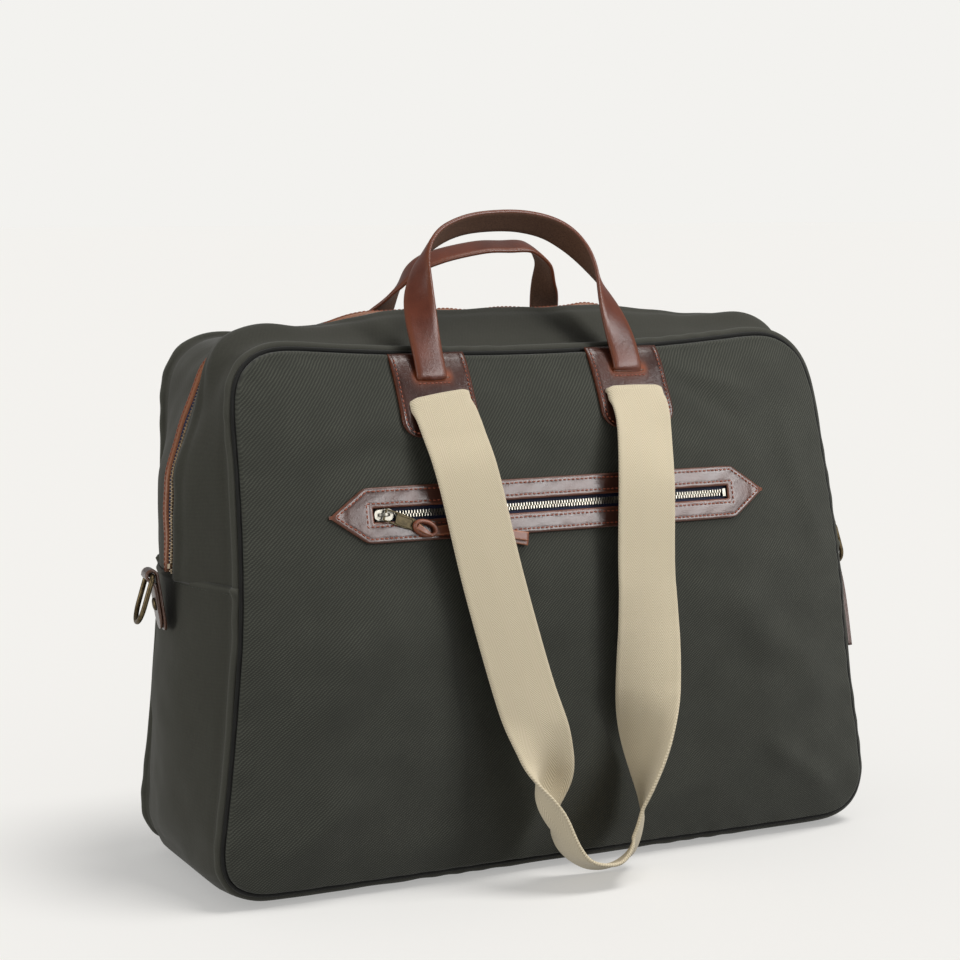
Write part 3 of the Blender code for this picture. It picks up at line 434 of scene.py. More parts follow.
def build_outline():
    low = float(half_width(SEAM_LIFT + BASE_CORNER))
    high = float(half_width(TOP_Z - TOP_CORNER))
    raw = []
    for i in range(40):
        raw.append((-(low - BASE_CORNER) * i / 40, SEAM_LIFT))
    for i in range(24):
        turn = math.radians(-90 - 90 * i / 24)
        x = -(low - BASE_CORNER) + BASE_CORNER * math.cos(turn)
        raw.append((x, SEAM_LIFT + BASE_CORNER + BASE_CORNER * math.sin(turn)))
    for i in range(60):
        z = SEAM_LIFT + BASE_CORNER + (TOP_Z - TOP_CORNER - SEAM_LIFT - BASE_CORNER) * i / 60
        raw.append((-float(half_width(z)), z))
    for i in range(24):
        turn = math.radians(180 - 90 * i / 24)
        x = -(high - TOP_CORNER) + TOP_CORNER * math.cos(turn)
        raw.append((x, TOP_Z - TOP_CORNER + TOP_CORNER * math.sin(turn)))
    for i in range(41):
        x = -(high - TOP_CORNER) * (1 - i / 40)
        raw.append((x, TOP_Z - TOP_SAG * (1 - (x / (high - TOP_CORNER)) ** 2)))
    for x, z in raw[-2:0:-1]:
        raw.append((-x, z))
    raw = np.array(raw)
    reach = np.concatenate([[0], np.cumsum(np.linalg.norm(np.roll(raw, -1, 0) - raw, axis=1))])
    want = reach[-1] * np.arange(480) / 480
    loop = np.vstack([raw, raw[:1]])
    even = np.stack([np.interp(want, reach, loop[:, k]) for k in (0, 1)], 1)
    for _ in range(30):
        even = (np.roll(even, 1, 0) + 2 * even + np.roll(even, -1, 0)) / 4
    slump = hill(even[:, 1], 0.075, 0.045)
    even[:, 0] += 0.0062 * slump * ease(even[:, 0], 0.12, 0.25)
    return even, float(reach[-1])


OUTLINE, OUTLINE_LENGTH = build_outline()
COUNT = len(OUTLINE)
TURNS = np.arctan2(OUTLINE[:, 1] - CENTRE_Z, OUTLINE[:, 0])
REACH = np.hypot(OUTLINE[:, 0], OUTLINE[:, 1] - CENTRE_Z)


def edge_at(share):
    spot = (np.asarray(share, float) % 1.0) * COUNT
    i = np.floor(spot).astype(int) % COUNT
    part = (spot - np.floor(spot))[..., None]
    place = OUTLINE[i] * (1 - part) + OUTLINE[(i + 1) % COUNT] * part
    way = OUTLINE[(i + 2) % COUNT] - OUTLINE[i - 1]
    way /= np.linalg.norm(way, axis=-1, keepdims=True)
    return place, np.stack([-way[..., 1], way[..., 0]], -1)


def share_at_height(z, left):
    low, high = 0.2, 0.45
    for _ in range(40):
        middle = (low + high) / 2
        if edge_at(middle)[0][1] < z:
            low = middle
        else:
            high = middle
    return low if left else 1.0 - low


def reach_of(x, z):
    edge = np.interp(np.arctan2(z - CENTRE_Z, x), TURNS, REACH, period=2 * math.pi)
    return np.hypot(x, z - CENTRE_Z) / edge


def swell(a, b, size, seed):
    """Smooth noise from -1 to 1 whose lumps are about this size."""
    pick = np.random.default_rng(seed)
    total = np.zeros(np.broadcast(a, b).shape)
    for _ in range(9):
        turn = pick.uniform(0, 2 * math.pi)
        pace = 2 * math.pi / (size * pick.uniform(0.75, 1.8))
        phase = pick.uniform(0, 2 * math.pi)
        total = total + np.sin(pace * (a * math.cos(turn) + b * math.sin(turn)) + phase)
    return total / 5.0


def fold(x, z, start, end, wide, high):
    """A soft crease from start to end that fades at both ends."""
    a = np.array(start)
    way = np.array(end) - a
    length = float(np.hypot(*way))
    way = way / length
    along = (x - a[0]) * way[0] + (z - a[1]) * way[1]
    off = (x - a[0]) * -way[1] + (z - a[1]) * way[0]
    off = off + 0.15 * wide * np.sin(along * 60)
    fade = ease(along, -0.2 * length, 0.25 * length) * (1 - ease(along, 0.6 * length, 1.1 * length))
    return high * fade * hill(off, wide)


FRONT_FOLDS = (
    ((0.090, 0.352), (0.180, 0.322), 0.006, 0.0016),
    ((0.105, 0.338), (0.165, 0.300), 0.008, -0.0014),
    ((-0.110, 0.320), (-0.190, 0.300), 0.010, 0.0014),
    ((-0.120, 0.300), (-0.215, 0.262), 0.012, -0.0014),
    ((-0.215, 0.030), (-0.150, 0.075), 0.010, 0.0020),
    ((0.225, 0.028), (0.160, 0.080), 0.010, 0.0020),
    ((-0.200, 0.120), (-0.120, 0.200), 0.018, 0.0018),
    ((0.215, 0.110), (0.130, 0.190), 0.018, 0.0018),
    ((-0.050, 0.344), (0.035, 0.344), 0.007, -0.0010),
    ((0.020, 0.020), (0.120, 0.052), 0.011, 0.0016),
    ((-0.140, 0.018), (-0.050, 0.045), 0.010, 0.0014),
    ((0.190, 0.300), (0.216, 0.205), 0.010, 0.0016),
)


def wrinkle(sign, x, z):
    """How far the cloth of a face stands out from its plain form."""
    rho = np.minimum(reach_of(x, z), 1.0)
    calm = 1 - rho**6
    out = 0.0017 * swell(x, z, 0.085, 5 + sign) * calm
    out = out + 0.0005 * swell(x, z, 0.030, 8 + sign) * calm
    turn = np.arctan2(z - CENTRE_Z, x)
    near = hill((1 - rho) * 0.22, 0.013) * ease(1 - rho, 0.0, 0.012)
    out = out + 0.0006 * near * np.sin(turn * 74 + 3 * np.sin(turn * 5))
    side = 1 if sign < 0 else -1
    for start, end, wide, high in FRONT_FOLDS:
        first = (start[0] * side, start[1])
        last = (end[0] * side, end[1])
        out = out + fold(x, z, first, last, wide, 1.7 * high * calm)
    flat = np.maximum.reduce([
        hill(x, 0.185, POCKET[0] * side, 8) * hill(z, 0.030, POCKET[2], 4) * (sign < 0),
        hill(np.abs(x - DETAIL_X[sign]), 0.036, PATCH_X, 6) * ease(z, 0.295, 0.310),
    ])
    return out * (1 - 0.85 * flat)


def face(sign, x, z):
    """The y of a face's cloth."""
    x = np.asarray(x, float)
    z = np.asarray(z, float)
    rho = np.minimum(reach_of(x, z), 1.0)
    bulge = PANEL_BULGE * (1 - rho**5)
    seam = front_y(z) if sign < 0 else rear_y(z)
    return seam + sign * (bulge + wrinkle(sign, x, z))


def gusset_bulge(place, out):
    down = np.maximum(0.0, -out[..., 1])
    z = place[..., 1]
    side = SIDE_BULGE * np.sin(np.minimum(np.maximum(z, 0.0) / SIDE_BULGE_Z, 1.0) * math.pi / 2)
    side = side * (1 - ease(z, 0.272, 0.346))
    top = TOP_BULGE * (1 - ease(np.abs(place[..., 0]), 0.070, 0.198)) * (z > 0.345)
    return down * SEAM_LIFT + (1 - down) * side + top


def gusset_wrinkle(share, y, place, out):
    down = np.maximum(0.0, -out[..., 1])
    along = share * OUTLINE_LENGTH
    soft = 0.0016 * swell(along, y, 0.070, 21) + 0.0006 * swell(along, y, 0.026, 22)
    side = np.abs(out[..., 0])
    z = place[..., 1]
    crush = 0.0016 * np.sin(z * 150 + 40 * y) * ease(0.075 - z, 0.0, 0.05) * side
    return (soft + crush) * (1 - ease(down, 0.3, 0.8))


def gusset_points(share, y, lift):
    """Points on the gusset at given y, standing off by lift."""
    place, out = edge_at(share)
    z = place[..., 1]
    first = front_y(z) + EDGE
    last = rear_y(z) - EDGE
    across = np.clip((y - (first + last) / 2) / ((last - first) / 2), -1, 1)
    down = np.maximum(0.0, -out[..., 1])
    near = np.minimum(1.0, np.maximum(0.0, 1 - np.abs(across)) / (1 - 0.8 * down))
    rise = np.sin(near * math.pi / 2)
    offset = gusset_bulge(place, out) * rise + lift
    offset = offset + gusset_wrinkle(share, y, place, out) * rise**0.5 * (near > 0)
    x = place[..., 0] + out[..., 0] * offset
    return np.stack([x, y + 0 * x, z + out[..., 1] * offset], -1)


def middle_y(share):
    place, _ = edge_at(share)
    return (front_y(place[..., 1]) + rear_y(place[..., 1])) / 2


def strip_points(share, distance, lift):
    share = np.asarray(share, float)
    return gusset_points(share, middle_y(share) + ZIP_SHIFT + distance, lift)


LEFT_SEAM = share_at_height(SIDE_SEAM_Z, True)
RIGHT_SEAM = share_at_height(SIDE_SEAM_Z, False)
LEFT_ZIP = share_at_height(ZIP_END_Z, True)
RIGHT_ZIP = share_at_height(ZIP_END_Z, False)


# --- mesh helpers ---


def add_piece(name, points, faces, material, body="bag", stands_for=(), smooth=True,
              uv=None, wear=None, recalc=True):
    mesh = bpy.data.meshes.new(name)
    mesh.from_pydata([tuple(map(float, p)) for p in points], [], faces)
    if recalc:
        work = bmesh.new()
        work.from_mesh(mesh)
        bmesh.ops.recalc_face_normals(work, faces=work.faces)
        work.to_mesh(mesh)
        work.free()
    mesh.polygons.foreach_set("use_smooth", [smooth] * len(mesh.polygons))
    for item in material if isinstance(material, (list, tuple)) else [material]:
        mesh.materials.append(item)
    if uv is not None:
        layer = mesh.uv_layers.new(name="along")
        index = np.empty(len(mesh.loops), int)
        mesh.loops.foreach_get("vertex_index", index)
        layer.data.foreach_set("uv", np.asarray(uv, float)[index].reshape(-1))
    shade = mesh.attributes.new("wear", "FLOAT", "POINT")
    shade.data.foreach_set("value", np.zeros(len(points)) if wear is None else np.asarray(wear, float))
    made = bpy.data.objects.new(name, mesh)
    bpy.context.scene.collection.objects.link(made)
    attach(made, body)
    if stands_for:
        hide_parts(*stands_for)
    return made


def bevel(item, width, segments=2, angle=35):
    step = item.modifiers.new("rounded", "BEVEL")
    step.width = width
    step.segments = segments
    step.limit_method = "ANGLE"
    step.angle_limit = math.radians(angle)
    step.harden_normals = False
    return item


def grid_faces(rows, columns):
    out = []
    for i in range(rows - 1):
        for j in range(columns - 1):
            a = i * columns + j
            b = a + columns
            out.append((a, b, b + 1, a + 1))
    return out


def smooth_path(points, count):
    points = [Vector(p) for p in points]
    dense = []
    total = len(points)
    for i in range(total - 1):
        before = points[max(i - 1, 0)]
        start = points[i]
        end = points[i + 1]
        after = points[min(i + 2, total - 1)]
        for k in range(16):
            t = k / 16
            a = (end - before) * 0.5
            b = (after - start) * 0.5
            value = start * (2 * t**3 - 3 * t**2 + 1) + a * (t**3 - 2 * t**2 + t)
            dense.append(value + end * (3 * t**2 - 2 * t**3) + b * (t**3 - t**2))
    dense.append(points[-1])
    dense = np.array([tuple(p) for p in dense])
    reach = np.concatenate([[0], np.cumsum(np.linalg.norm(np.diff(dense, axis=0), axis=1))])
    want = np.linspace(0, reach[-1], count)
    return np.stack([np.interp(want, reach, dense[:, k]) for k in range(3)], 1)


def unit(rows):
    return rows / np.maximum(np.linalg.norm(rows, axis=-1, keepdims=True), 1e-12)


def tangents(path, closed=False):
    if closed:
        return unit(np.roll(path, -1, 0) - np.roll(path, 1, 0))
    return unit(np.gradient(path, axis=0))


def length_of(path):
    return np.concatenate([[0], np.cumsum(np.linalg.norm(np.diff(path, axis=0), axis=1))])


STRAP = ((-0.5, 0.0, -0.22), (-0.5, 0.30, -0.5), (-0.30, 0, -0.5), (-0.1, 0, -0.5), (0.1, 0, -0.5),
         (0.30, 0, -0.5), (0.5, -0.30, -0.5), (0.5, 0.0, -0.22), (0.5, 0.0, 0.22), (0.5, -0.30, 0.5),
         (0.30, 0, 0.5), (0.1, 0, 0.5), (-0.1, 0, 0.5), (-0.30, 0, 0.5), (-0.5, 0.30, 0.5),
         (-0.5, 0.0, 0.22))


def ribbon(name, path, normal, width, thick, material, body, stands_for=(), cup=0.0,
           closed=False, widths=None, flesh=None, wear_edge=0.0):
    """A strap with rounded edges along a path; normal is the way its face looks."""
    way = tangents(path, closed)
    normal = unit(normal - way * (normal * way).sum(1, keepdims=True))
    across = np.cross(way, normal)
    run = length_of(path)
    count = len(path)
    widths = np.full(count, width) if widths is None else widths
    points = []
    uv = []
    wear = []
    for i in range(count):
        for part, shift, level in STRAP:
            a = part * widths[i] + shift * thick
            high = level * thick - cup * ((2 * part) ** 2)
            points.append(path[i] + across[i] * a + normal[i] * high)
            uv.append((a + width / 2, run[i]))
            wear.append(wear_edge if abs(part) > 0.45 else 0.0)
    per = len(STRAP)
    faces = []
    for i in range(count if closed else count - 1):
        a = i * per
        b = ((i + 1) % count) * per
        for k in range(per):
            n = (k + 1) % per
            faces.append((a + k, a + n, b + n, b + k))
    if not closed:
        faces.append(tuple(range(per))[::-1])
        faces.append(tuple(range((count - 1) * per, count * per)))
    materials = [material] if flesh is None else [material, flesh]
    made = add_piece(name, points, faces, materials, body, stands_for, uv=uv, wear=wear)
    if flesh is not None:
        for polygon in made.data.polygons:
            ring = [v % per for v in polygon.vertices]
            if len(ring) == 4 and max(ring) <= 6 and min(ring) >= 1:
                polygon.material_index = 1
    return made


def tube(name, path, radius, material, body, sides=12, closed=False, stands_for=(), flat=1.0,
         up=(0, 0, 1)):
    way = tangents(path, closed)
    guide = np.tile(np.array(up, float), (len(path), 1))
    first = unit(np.cross(way, guide))
    second = np.cross(first, way)
    radius = np.broadcast_to(radius, (len(path),))
    points = []
    for i in range(len(path)):
        for k in range(sides):
            turn = 2 * math.pi * k / sides
            spoke = first[i] * math.cos(turn) * flat + second[i] * math.sin(turn)
            points.append(path[i] + radius[i] * spoke)
    faces = []
    count = len(path)
    for i in range(count if closed else count - 1):
        a = i * sides
        b = ((i + 1) % count) * sides
        for k in range(sides):
            n = (k + 1) % sides
            faces.append((a + k, a + n, b + n, b + k))
    if not closed:
        faces.append(tuple(range(sides))[::-1])
        faces.append(tuple(range((count - 1) * sides, count * sides)))
    return add_piece(name, points, faces, material, body, stands_for)


STITCH_SINK = 0.35


def stitches(name, path, normal, material, body="bag", pitch=0.0033, long=0.0024,
             radius=0.00042):
    """A row of separate stitches lying along a path."""
    run = length_of(path)
    count = max(int(run[-1] / pitch), 1)
    middle = (np.arange(count) + 0.5) * run[-1] / count
    place = np.stack([np.interp(middle, run, path[:, k]) for k in range(3)], 1)
    way = tangents(path)
    way = unit(np.stack([np.interp(middle, run, way[:, k]) for k in range(3)], 1))
    normal = unit(np.stack([np.interp(middle, run, normal[:, k]) for k in range(3)], 1))
    way = unit(way)
    side = unit(np.cross(way, normal))
    points = []
    faces = []
    sections = ((-1.0, 0.45, -0.9), (-0.72, 0.9, -0.15), (0.0, 1.0, 0.1),
                (0.72, 0.9, -0.15), (1.0, 0.45, -0.9))
    sides = 6
    for i in range(count):
        base = len(points)
        for along, wide, high in sections:
            centre = place[i] + way[i] * (along * long / 2) + normal[i] * radius * (high + 1 - 2 * STITCH_SINK)
            for k in range(sides):
                turn = 2 * math.pi * k / sides
                spoke = side[i] * math.cos(turn) + normal[i] * math.sin(turn)
                points.append(centre + radius * wide * spoke)
        for s in range(len(sections) - 1):
            for k in range(sides):
                n = (k + 1) % sides
                a = base + s * sides
                faces.append((a + k, a + n, a + sides + n, a + sides + k))
        faces.append(tuple(base + k for k in range(sides))[::-1])
        faces.append(tuple(base + (len(sections) - 1) * sides + k for k in range(sides)))
    return add_piece(name, points, faces, material, body, recalc=False)


def plate(name, outline, frame_of, low, high, material, body, holes=(), stands_for=(),
          rounded=0.0004):
    """A flat plate from an outline and holes, in a frame of origin, first, second and normal."""
    origin, first, second, normal = [Vector(v) for v in frame_of]
    work = bmesh.new()
    loops = [outline] + list(holes)
    edges = []
    for loop in loops:
        ring = [work.verts.new(origin + first * a + second * b + normal * low) for a, b in loop]
        for k, vertex in enumerate(ring):
            edges.append(work.edges.new((vertex, ring[(k + 1) % len(ring)])))
    bmesh.ops.triangle_fill(work, use_beauty=True, use_dissolve=False, edges=edges)
    made = bmesh.ops.extrude_face_region(work, geom=list(work.faces))
    lifted = [item for item in made["geom"] if isinstance(item, bmesh.types.BMVert)]
    bmesh.ops.translate(work, verts=lifted, vec=normal * (high - low))
    bmesh.ops.recalc_face_normals(work, faces=work.faces)
    points = [tuple(v.co) for v in work.verts]
    work.verts.index_update()
    faces = [tuple(v.index for v in f.verts) for f in work.faces]
    work.free()
    item = add_piece(name, points, faces, material, body, stands_for, smooth=False)
    if rounded:
        bevel(item, rounded, 2, 40)
    return item


def circle(radius, count, centre=(0.0, 0.0)):
    turns = [2 * math.pi * k / count for k in range(count)]
    return [(centre[0] + radius * math.cos(t), centre[1] + radius * math.sin(t)) for t in turns]


def rounded_box(half_a, half_b, radius, steps=4, centre=(0.0, 0.0)):
    out = []
    for ca, cb, start in ((1, 1, 0), (-1, 1, 90), (-1, -1, 180), (1, -1, 270)):
        for k in range(steps + 1):
            turn = math.radians(start + 90 * k / steps)
            a = centre[0] + ca * (half_a - radius) + radius * math.cos(turn)
            b = centre[1] + cb * (half_b - radius) + radius * math.sin(turn)
            out.append((a, b))
    return out


def plain_surface(sign, x, z):
    bulge = PANEL_BULGE * (1 - np.minimum(reach_of(x, z), 1.0) ** 5)
    return float((front_y(z) if sign < 0 else rear_y(z)) + sign * bulge)


# --- cloth body ---


def build_face(sign, name, node):
    sides = 320
    rings = 56
    share = np.arange(sides) / sides
    place, out = edge_at(share)
    points = []
    wear = []
    for ring in range(1, rings + 1):
        s = (ring / rings) ** 0.85
        x = (place[:, 0] - out[:, 0] * 0.0060) * s
        z = CENTRE_Z + (place[:, 1] - out[:, 1] * 0.0060 - CENTRE_Z) * s
        y = face(sign, x, z)
        points += list(np.stack([x, y, z], 1))
        wear += [0.0] * sides
    y_edge = face(sign, place[:, 0] - out[:, 0] * 0.0060, place[:, 1] - out[:, 1] * 0.0060)
    for inset, back, worn in ((0.0047, 0.0003, 0.10), (0.0037, 0.0009, 0.20), (0.0031, 0.0019, 0.10),
                              (0.0028, 0.0034, 0.0), (0.0028, 0.0055, 0.0)):
        x = place[:, 0] - out[:, 0] * inset
        z = place[:, 1] - out[:, 1] * inset
        points += list(np.stack([x, y_edge - sign * back, z], 1))
        wear += [worn] * sides
    rows = rings + 5
    points.append(np.array([0.0, float(face(sign, 0.0, CENTRE_Z)), CENTRE_Z]))
    wear.append(0.0)
    faces = []
    for i in range(rows - 1):
        for k in range(sides):
            n = (k + 1) % sides
            a = i * sides
            faces.append((a + k, a + sides + k, a + sides + n, a + n))
    for k in range(sides):
        faces.append((rows * sides, k, (k + 1) % sides))
    if sign < 0:
        grid = np.array(points)
        kept = []
        for item in faces:
            middle = grid[list(item)].mean(0)
            b = (middle[2] - POCKET[2]) / math.cos(POCKET_TILT)
            if abs(middle[0] - POCKET[0]) < 0.1405 and abs(b) < 0.0105:
                continue
            kept.append(item)
        faces = kept
    made = add_piece(name, points, faces, CANVAS, "bag", (node,), wear=wear, recalc=False)
    orient(made, Vector((0, sign, 0)))
    step = made.modifiers.new("thickness", "SOLIDIFY")
    step.thickness = 0.0014
    step.offset = -1.0
    return made


def orient(item, towards):
    """Turns all faces over if the mesh on the whole looks the other way."""
    total = Vector((0, 0, 0))
    for polygon in item.data.polygons:
        total += polygon.normal * polygon.area
    if total.dot(towards) < 0:
        item.data.flip_normals()


WELT_TURNS = np.radians((-25, 0, 25, 50, 75, 100, 125, 148))


def welt_profile():
    """(distance in from the seam, stand-off, wear) rows of the rounded welt."""
    rows = [(0.0031, -0.0048, 0.0), (0.0034, -0.0028, 0.0)]
    for turn in WELT_TURNS:
        lift = -0.0002 + 0.0035 * math.sin(turn)
        rows.append((0.0069 - 0.0034 * math.cos(turn), lift, 0.5 * max(0.0, math.sin(turn))))
    return rows


def gusset_surface(name, shares, sides, nodes, hem_ends):
    """Cloth rows across the gusset: welts at the seams and turned hems at the zip or the ends."""
    place, out = edge_at(shares)
    z = place[:, 1]
    run = shares * OUTLINE_LENGTH
    rows = []
    wears = []
    first = front_y(z) + EDGE
    last = rear_y(z) - EDGE
    middle = middle_y(shares)

    def welt(sign):
        seam = front_y(z) if sign < 0 else rear_y(z)
        made = []
        for inward, lift, worn in welt_profile():
            y = seam - sign * (inward + 0.0003 * np.sin(run * 90 + 5 * np.sin(run * 21)))
            off = lift + 0.00025 * np.sin(run * 140 + 7 * np.sin(run * 33))
            made.append((np.stack([place[:, 0] + out[:, 0] * off, y, z + out[:, 1] * off], 1), worn))
        return made

    def inner(y, extra=0.0):
        near = np.minimum(np.abs(y - first), np.abs(y - last))
        lift = 0.0012 * hill(near, 0.0045) - 0.0012 * hill(near, 0.0030, 0.0045)
        return gusset_points(shares, y, lift + extra)

    def crest(distance):
        """The soft roll of the front half's cloth along the zip, highest round the top corners."""
        corner = hill(np.abs(place[:, 0]), 0.040, 0.192) * ease(z, 0.325, 0.352)
        high = 0.0022 + 0.0030 * ease(z, 0.340, 0.362) + 0.0080 * corner
        return high * hill(distance, 0.011, 0.020) * ease(distance, 0.004, 0.014)

    if sides == "front":
        for row, worn in welt(-1):
            rows.append(row)
            wears.append(worn)
        reach = 0.0088 - 0.0024 * ease(z, 0.285, 0.325)
        stop = middle + ZIP_SHIFT - reach
        for t in (np.sin(np.linspace(0, 1, 24) * math.pi / 2) ** 1.2):
            y = first + (stop - first) * t
            distance = middle + ZIP_SHIFT - y
            over = 0.0034 * (1 - ease(distance, 0.012, 0.017))
            rows.append(inner(y, crest(distance) + over))
            wears.append(0.0)
        wears[-1] = 0.5
        rows.append(gusset_points(shares, stop + 0.0007, 0.0028))
        wears.append(0.4)
        rows.append(gusset_points(shares, stop + 0.0003, 0.0018))
        wears.append(0.0)
    elif sides == "rear":
        stop = middle + ZIP_SHIFT + HALF_GUSSET_FROM - 0.0012
        rows.append(gusset_points(shares, stop - 0.0002, -0.0026))
        wears.append(0.0)
        rows.append(gusset_points(shares, stop - 0.0005, -0.0008))
        wears.append(0.4)
        for t in 1 - (np.sin(np.linspace(0, 1, 24) * math.pi / 2) ** 1.2)[::-1]:
            y = stop + (last - stop) * t
            rows.append(inner(y))
            wears.append(0.0)
        wears[2] = 0.6
        for row, worn in reversed(welt(1)):
            rows.append(row)
            wears.append(worn)
    else:
        for row, worn in welt(-1):
            rows.append(row)
            wears.append(worn)
        for t in 0.5 - 0.5 * np.cos(np.linspace(0, 1, 30) * math.pi):
            rows.append(inner(first + (last - first) * t))
            wears.append(0.0)
        for row, worn in reversed(welt(1)):
            rows.append(row)
            wears.append(worn)
    grid = np.stack(rows, 1)
    wear = np.tile(np.array(wears), (len(shares), 1))
    if hem_ends:
        normal = np.stack([out[:, 0], 0 * z, out[:, 1]], 1)[:, None, :]
        ends = np.minimum(run - run[0], run[-1] - run)[:, None, None]
        grid = grid + normal * (0.0026 * hill(ends, 0.0045))
        grid[0] -= normal[0] * 0.0022
        grid[-1] -= normal[-1] * 0.0022
        wear[1] = np.maximum(wear[1], 0.5)
        wear[-2] = np.maximum(wear[-2], 0.5)
    else:
        normal = np.stack([out[:, 0], 0 * z, out[:, 1]], 1)[:, None, :]
        grid[0] -= normal[0] * 0.0012
        grid[-1] -= normal[-1] * 0.0012
    points = grid.reshape(-1, 3)
    faces = grid_faces(len(shares), grid.shape[1])
    # The gusset cloth takes the darker twill copy, whose darkening is painted shade.
    made = add_piece(name, points, faces, SHADED_GUSSET_TWILL, "bag", nodes, wear=wear.reshape(-1),
                     recalc=False)
    probe = made.data.polygons[(len(shares) // 2) * (grid.shape[1] - 1) + grid.shape[1] // 2]
    if probe.normal.dot(Vector((0, 0, 1 if sides != "both" else -1))) < 0:
        made.data.flip_normals()
    step = made.modifiers.new("thickness", "SOLIDIFY")
    step.thickness = 0.0012
    step.offset = -1.0
    return made


def build_gussets():
    tuck = 0.004 / OUTLINE_LENGTH
    top = np.linspace(LEFT_SEAM - tuck, RIGHT_SEAM + tuck, 420)
    low = np.linspace(RIGHT_SEAM, 1.0 + LEFT_SEAM, 380)
    gusset_surface("front_top_cloth", top, "front", ("front_top_gusset", "front_seam_ridge"), False)
    gusset_surface("rear_top_cloth", top, "rear", ("rear_top_gusset", "rear_seam_ridge"), False)
    gusset_surface("lower_cloth", low, "both", ("lower_gusset",), True)
    step = 0.0055 / OUTLINE_LENGTH
    for side, share in (("left", LEFT_SEAM - step), ("right", RIGHT_SEAM + step)):
        spread = np.linspace(0.012, 0.988, 80)
        place, out = edge_at(np.full(80, share))
        first = front_y(place[:, 1]) + EDGE
        last = rear_y(place[:, 1]) - EDGE
        path = gusset_points(np.full(80, share), first + (last - first) * spread, 0.0003)
        normal = np.stack([out[:, 0], 0 * out[:, 0], out[:, 1]], 1)
        stitches(side + "_seam_stitches", path, normal, OLIVE_THREAD, "bag", 0.0032, 0.0023, 0.0003)


# --- zips ---


def build_seam_groove_shade():
    """Painted shade: a near-black tube laid in the groove between each face and the gusset, standing in for the
    groove's shadow.
    """
    place, out = edge_at(np.linspace(0, 1, 421)[:-1])
    for sign, name in ((-1, "front"), (1, "rear")):
        seam = front_y(place[:, 1]) if sign < 0 else rear_y(place[:, 1])
        inset = place - out * 0.0014
        path = np.stack([inset[:, 0], seam - sign * 0.0031, inset[:, 1]], 1)
        tube(name + "_seam_groove_painted_shade", path, 0.0014, SEAM_SHADE, "bag", 8, True, up=(0, 1, 0))


def teeth(name, path, normal, pitch, wide, long, low, high, nodes, metal):
    """Two interleaved rows of cast teeth along a path."""
    run = length_of(path)
    count = int(run[-1] / pitch)
    way = tangents(path)
    points = []
    faces = []
    for row, sign in ((0.0, 1), (0.5, -1)):
        middle = (np.arange(count) + 0.25 + row) * pitch
        place = np.stack([np.interp(middle, run, path[:, k]) for k in range(3)], 1)
        along = unit(np.stack([np.interp(middle, run, way[:, k]) for k in range(3)], 1))
        rise = unit(np.stack([np.interp(middle, run, normal[:, k]) for k in range(3)], 1))
        side = np.cross(along, rise) * sign
        rise = np.cross(side * sign, along)
        rise = rise * np.sign((rise * normal[0]).sum(1, keepdims=True))
        for i in range(count):
            base = len(points)
            for a, b, c in (
                (-0.10, 1, 0), (1, 1, 0), (1, -1, 0), (-0.10, -1, 0),
                (-0.10, 0.9, 0.7), (1, 0.8, 0.7), (1, -0.8, 0.7), (-0.10, -0.9, 0.7),
                (0.04, 0.55, 1), (0.92, 0.5, 1), (0.92, -0.5, 1), (0.04, -0.55, 1),
            ):
                p = place[i] + side[i] * (a * wide) + along[i] * (b * long / 2)
                points.append(p + rise[i] * (low + c * (high - low)))
            for k in range(4):
                n = (k + 1) % 4
                faces.append((base + k, base + n, base + 4 + n, base + 4 + k))
                faces.append((base + 4 + k, base + 4 + n, base + 8 + n, base + 8 + k))
            faces.append((base + 8, base + 9, base + 10, base + 11))
            faces.append((base + 3, base + 2, base + 1, base))
    return add_piece(name, points, faces, metal, "bag", nodes, smooth=False)


def build_main_zip():
    shares = np.linspace(LEFT_ZIP, RIGHT_ZIP, 460)
    _, out = edge_at(shares)
    normal = np.stack([out[:, 0], 0 * out[:, 0], out[:, 1]], 1)
    run = shares * OUTLINE_LENGTH
    for side, sign in (("front", -1), ("rear", 1)):
        wave = 0.0005 * np.sin(run * 45 + sign) + 0.0003 * np.sin(run * 130)
        section = ((0.0062, -0.0010), (0.0062, 0.0006), (0.0068, 0.0014), (0.0085, 0.0017),
                   (0.0105, 0.0017), (0.0114, 0.0012), (0.0122, 0.0002), (0.0122, -0.0012))
        grid = np.stack([strip_points(shares, sign * (d + wave), h) for d, h in section], 1)
        wear = np.tile(np.array((0.9, 0.9, 0.7, 0.1, 0.0, 0.1, 0.3, 0.3)), (len(shares), 1))
        faces = grid_faces(len(shares), len(section))
        add_piece(side + "_zip_leather", grid.reshape(-1, 3), faces, COGNAC, "bag",
                  (side + "_zip_trim",), wear=wear.reshape(-1))
        path = strip_points(shares, sign * (0.0088 + wave), 0.0018)
        stitches(side + "_zip_stitches", path, normal, RUST_THREAD, "bag",
                 0.0034, 0.0025, 0.0003)
        band = ((0.0022, -0.0013), (0.0045, -0.0008), (0.0075, -0.0006), (0.0105, -0.0010))
        grid = np.stack([strip_points(shares, sign * d, h) for d, h in band], 1)
        add_piece(side + "_zip_cloth_tape", grid.reshape(-1, 3), grid_faces(len(shares), len(band)), NAVY,
                  "bag", (side + "_zip_tape",))
    path = strip_points(shares, 0.0, 0.0)
    teeth("main_zip_brass_teeth", path, normal, 0.0024, 0.0031, 0.0012, -0.0016, 0.0009,
          ("main_zip_teeth",), BRASS)


UP = np.array((0.0, math.sin(POCKET_TILT), math.cos(POCKET_TILT)))
OUT = np.array((0.0, -math.cos(POCKET_TILT), math.sin(POCKET_TILT)))


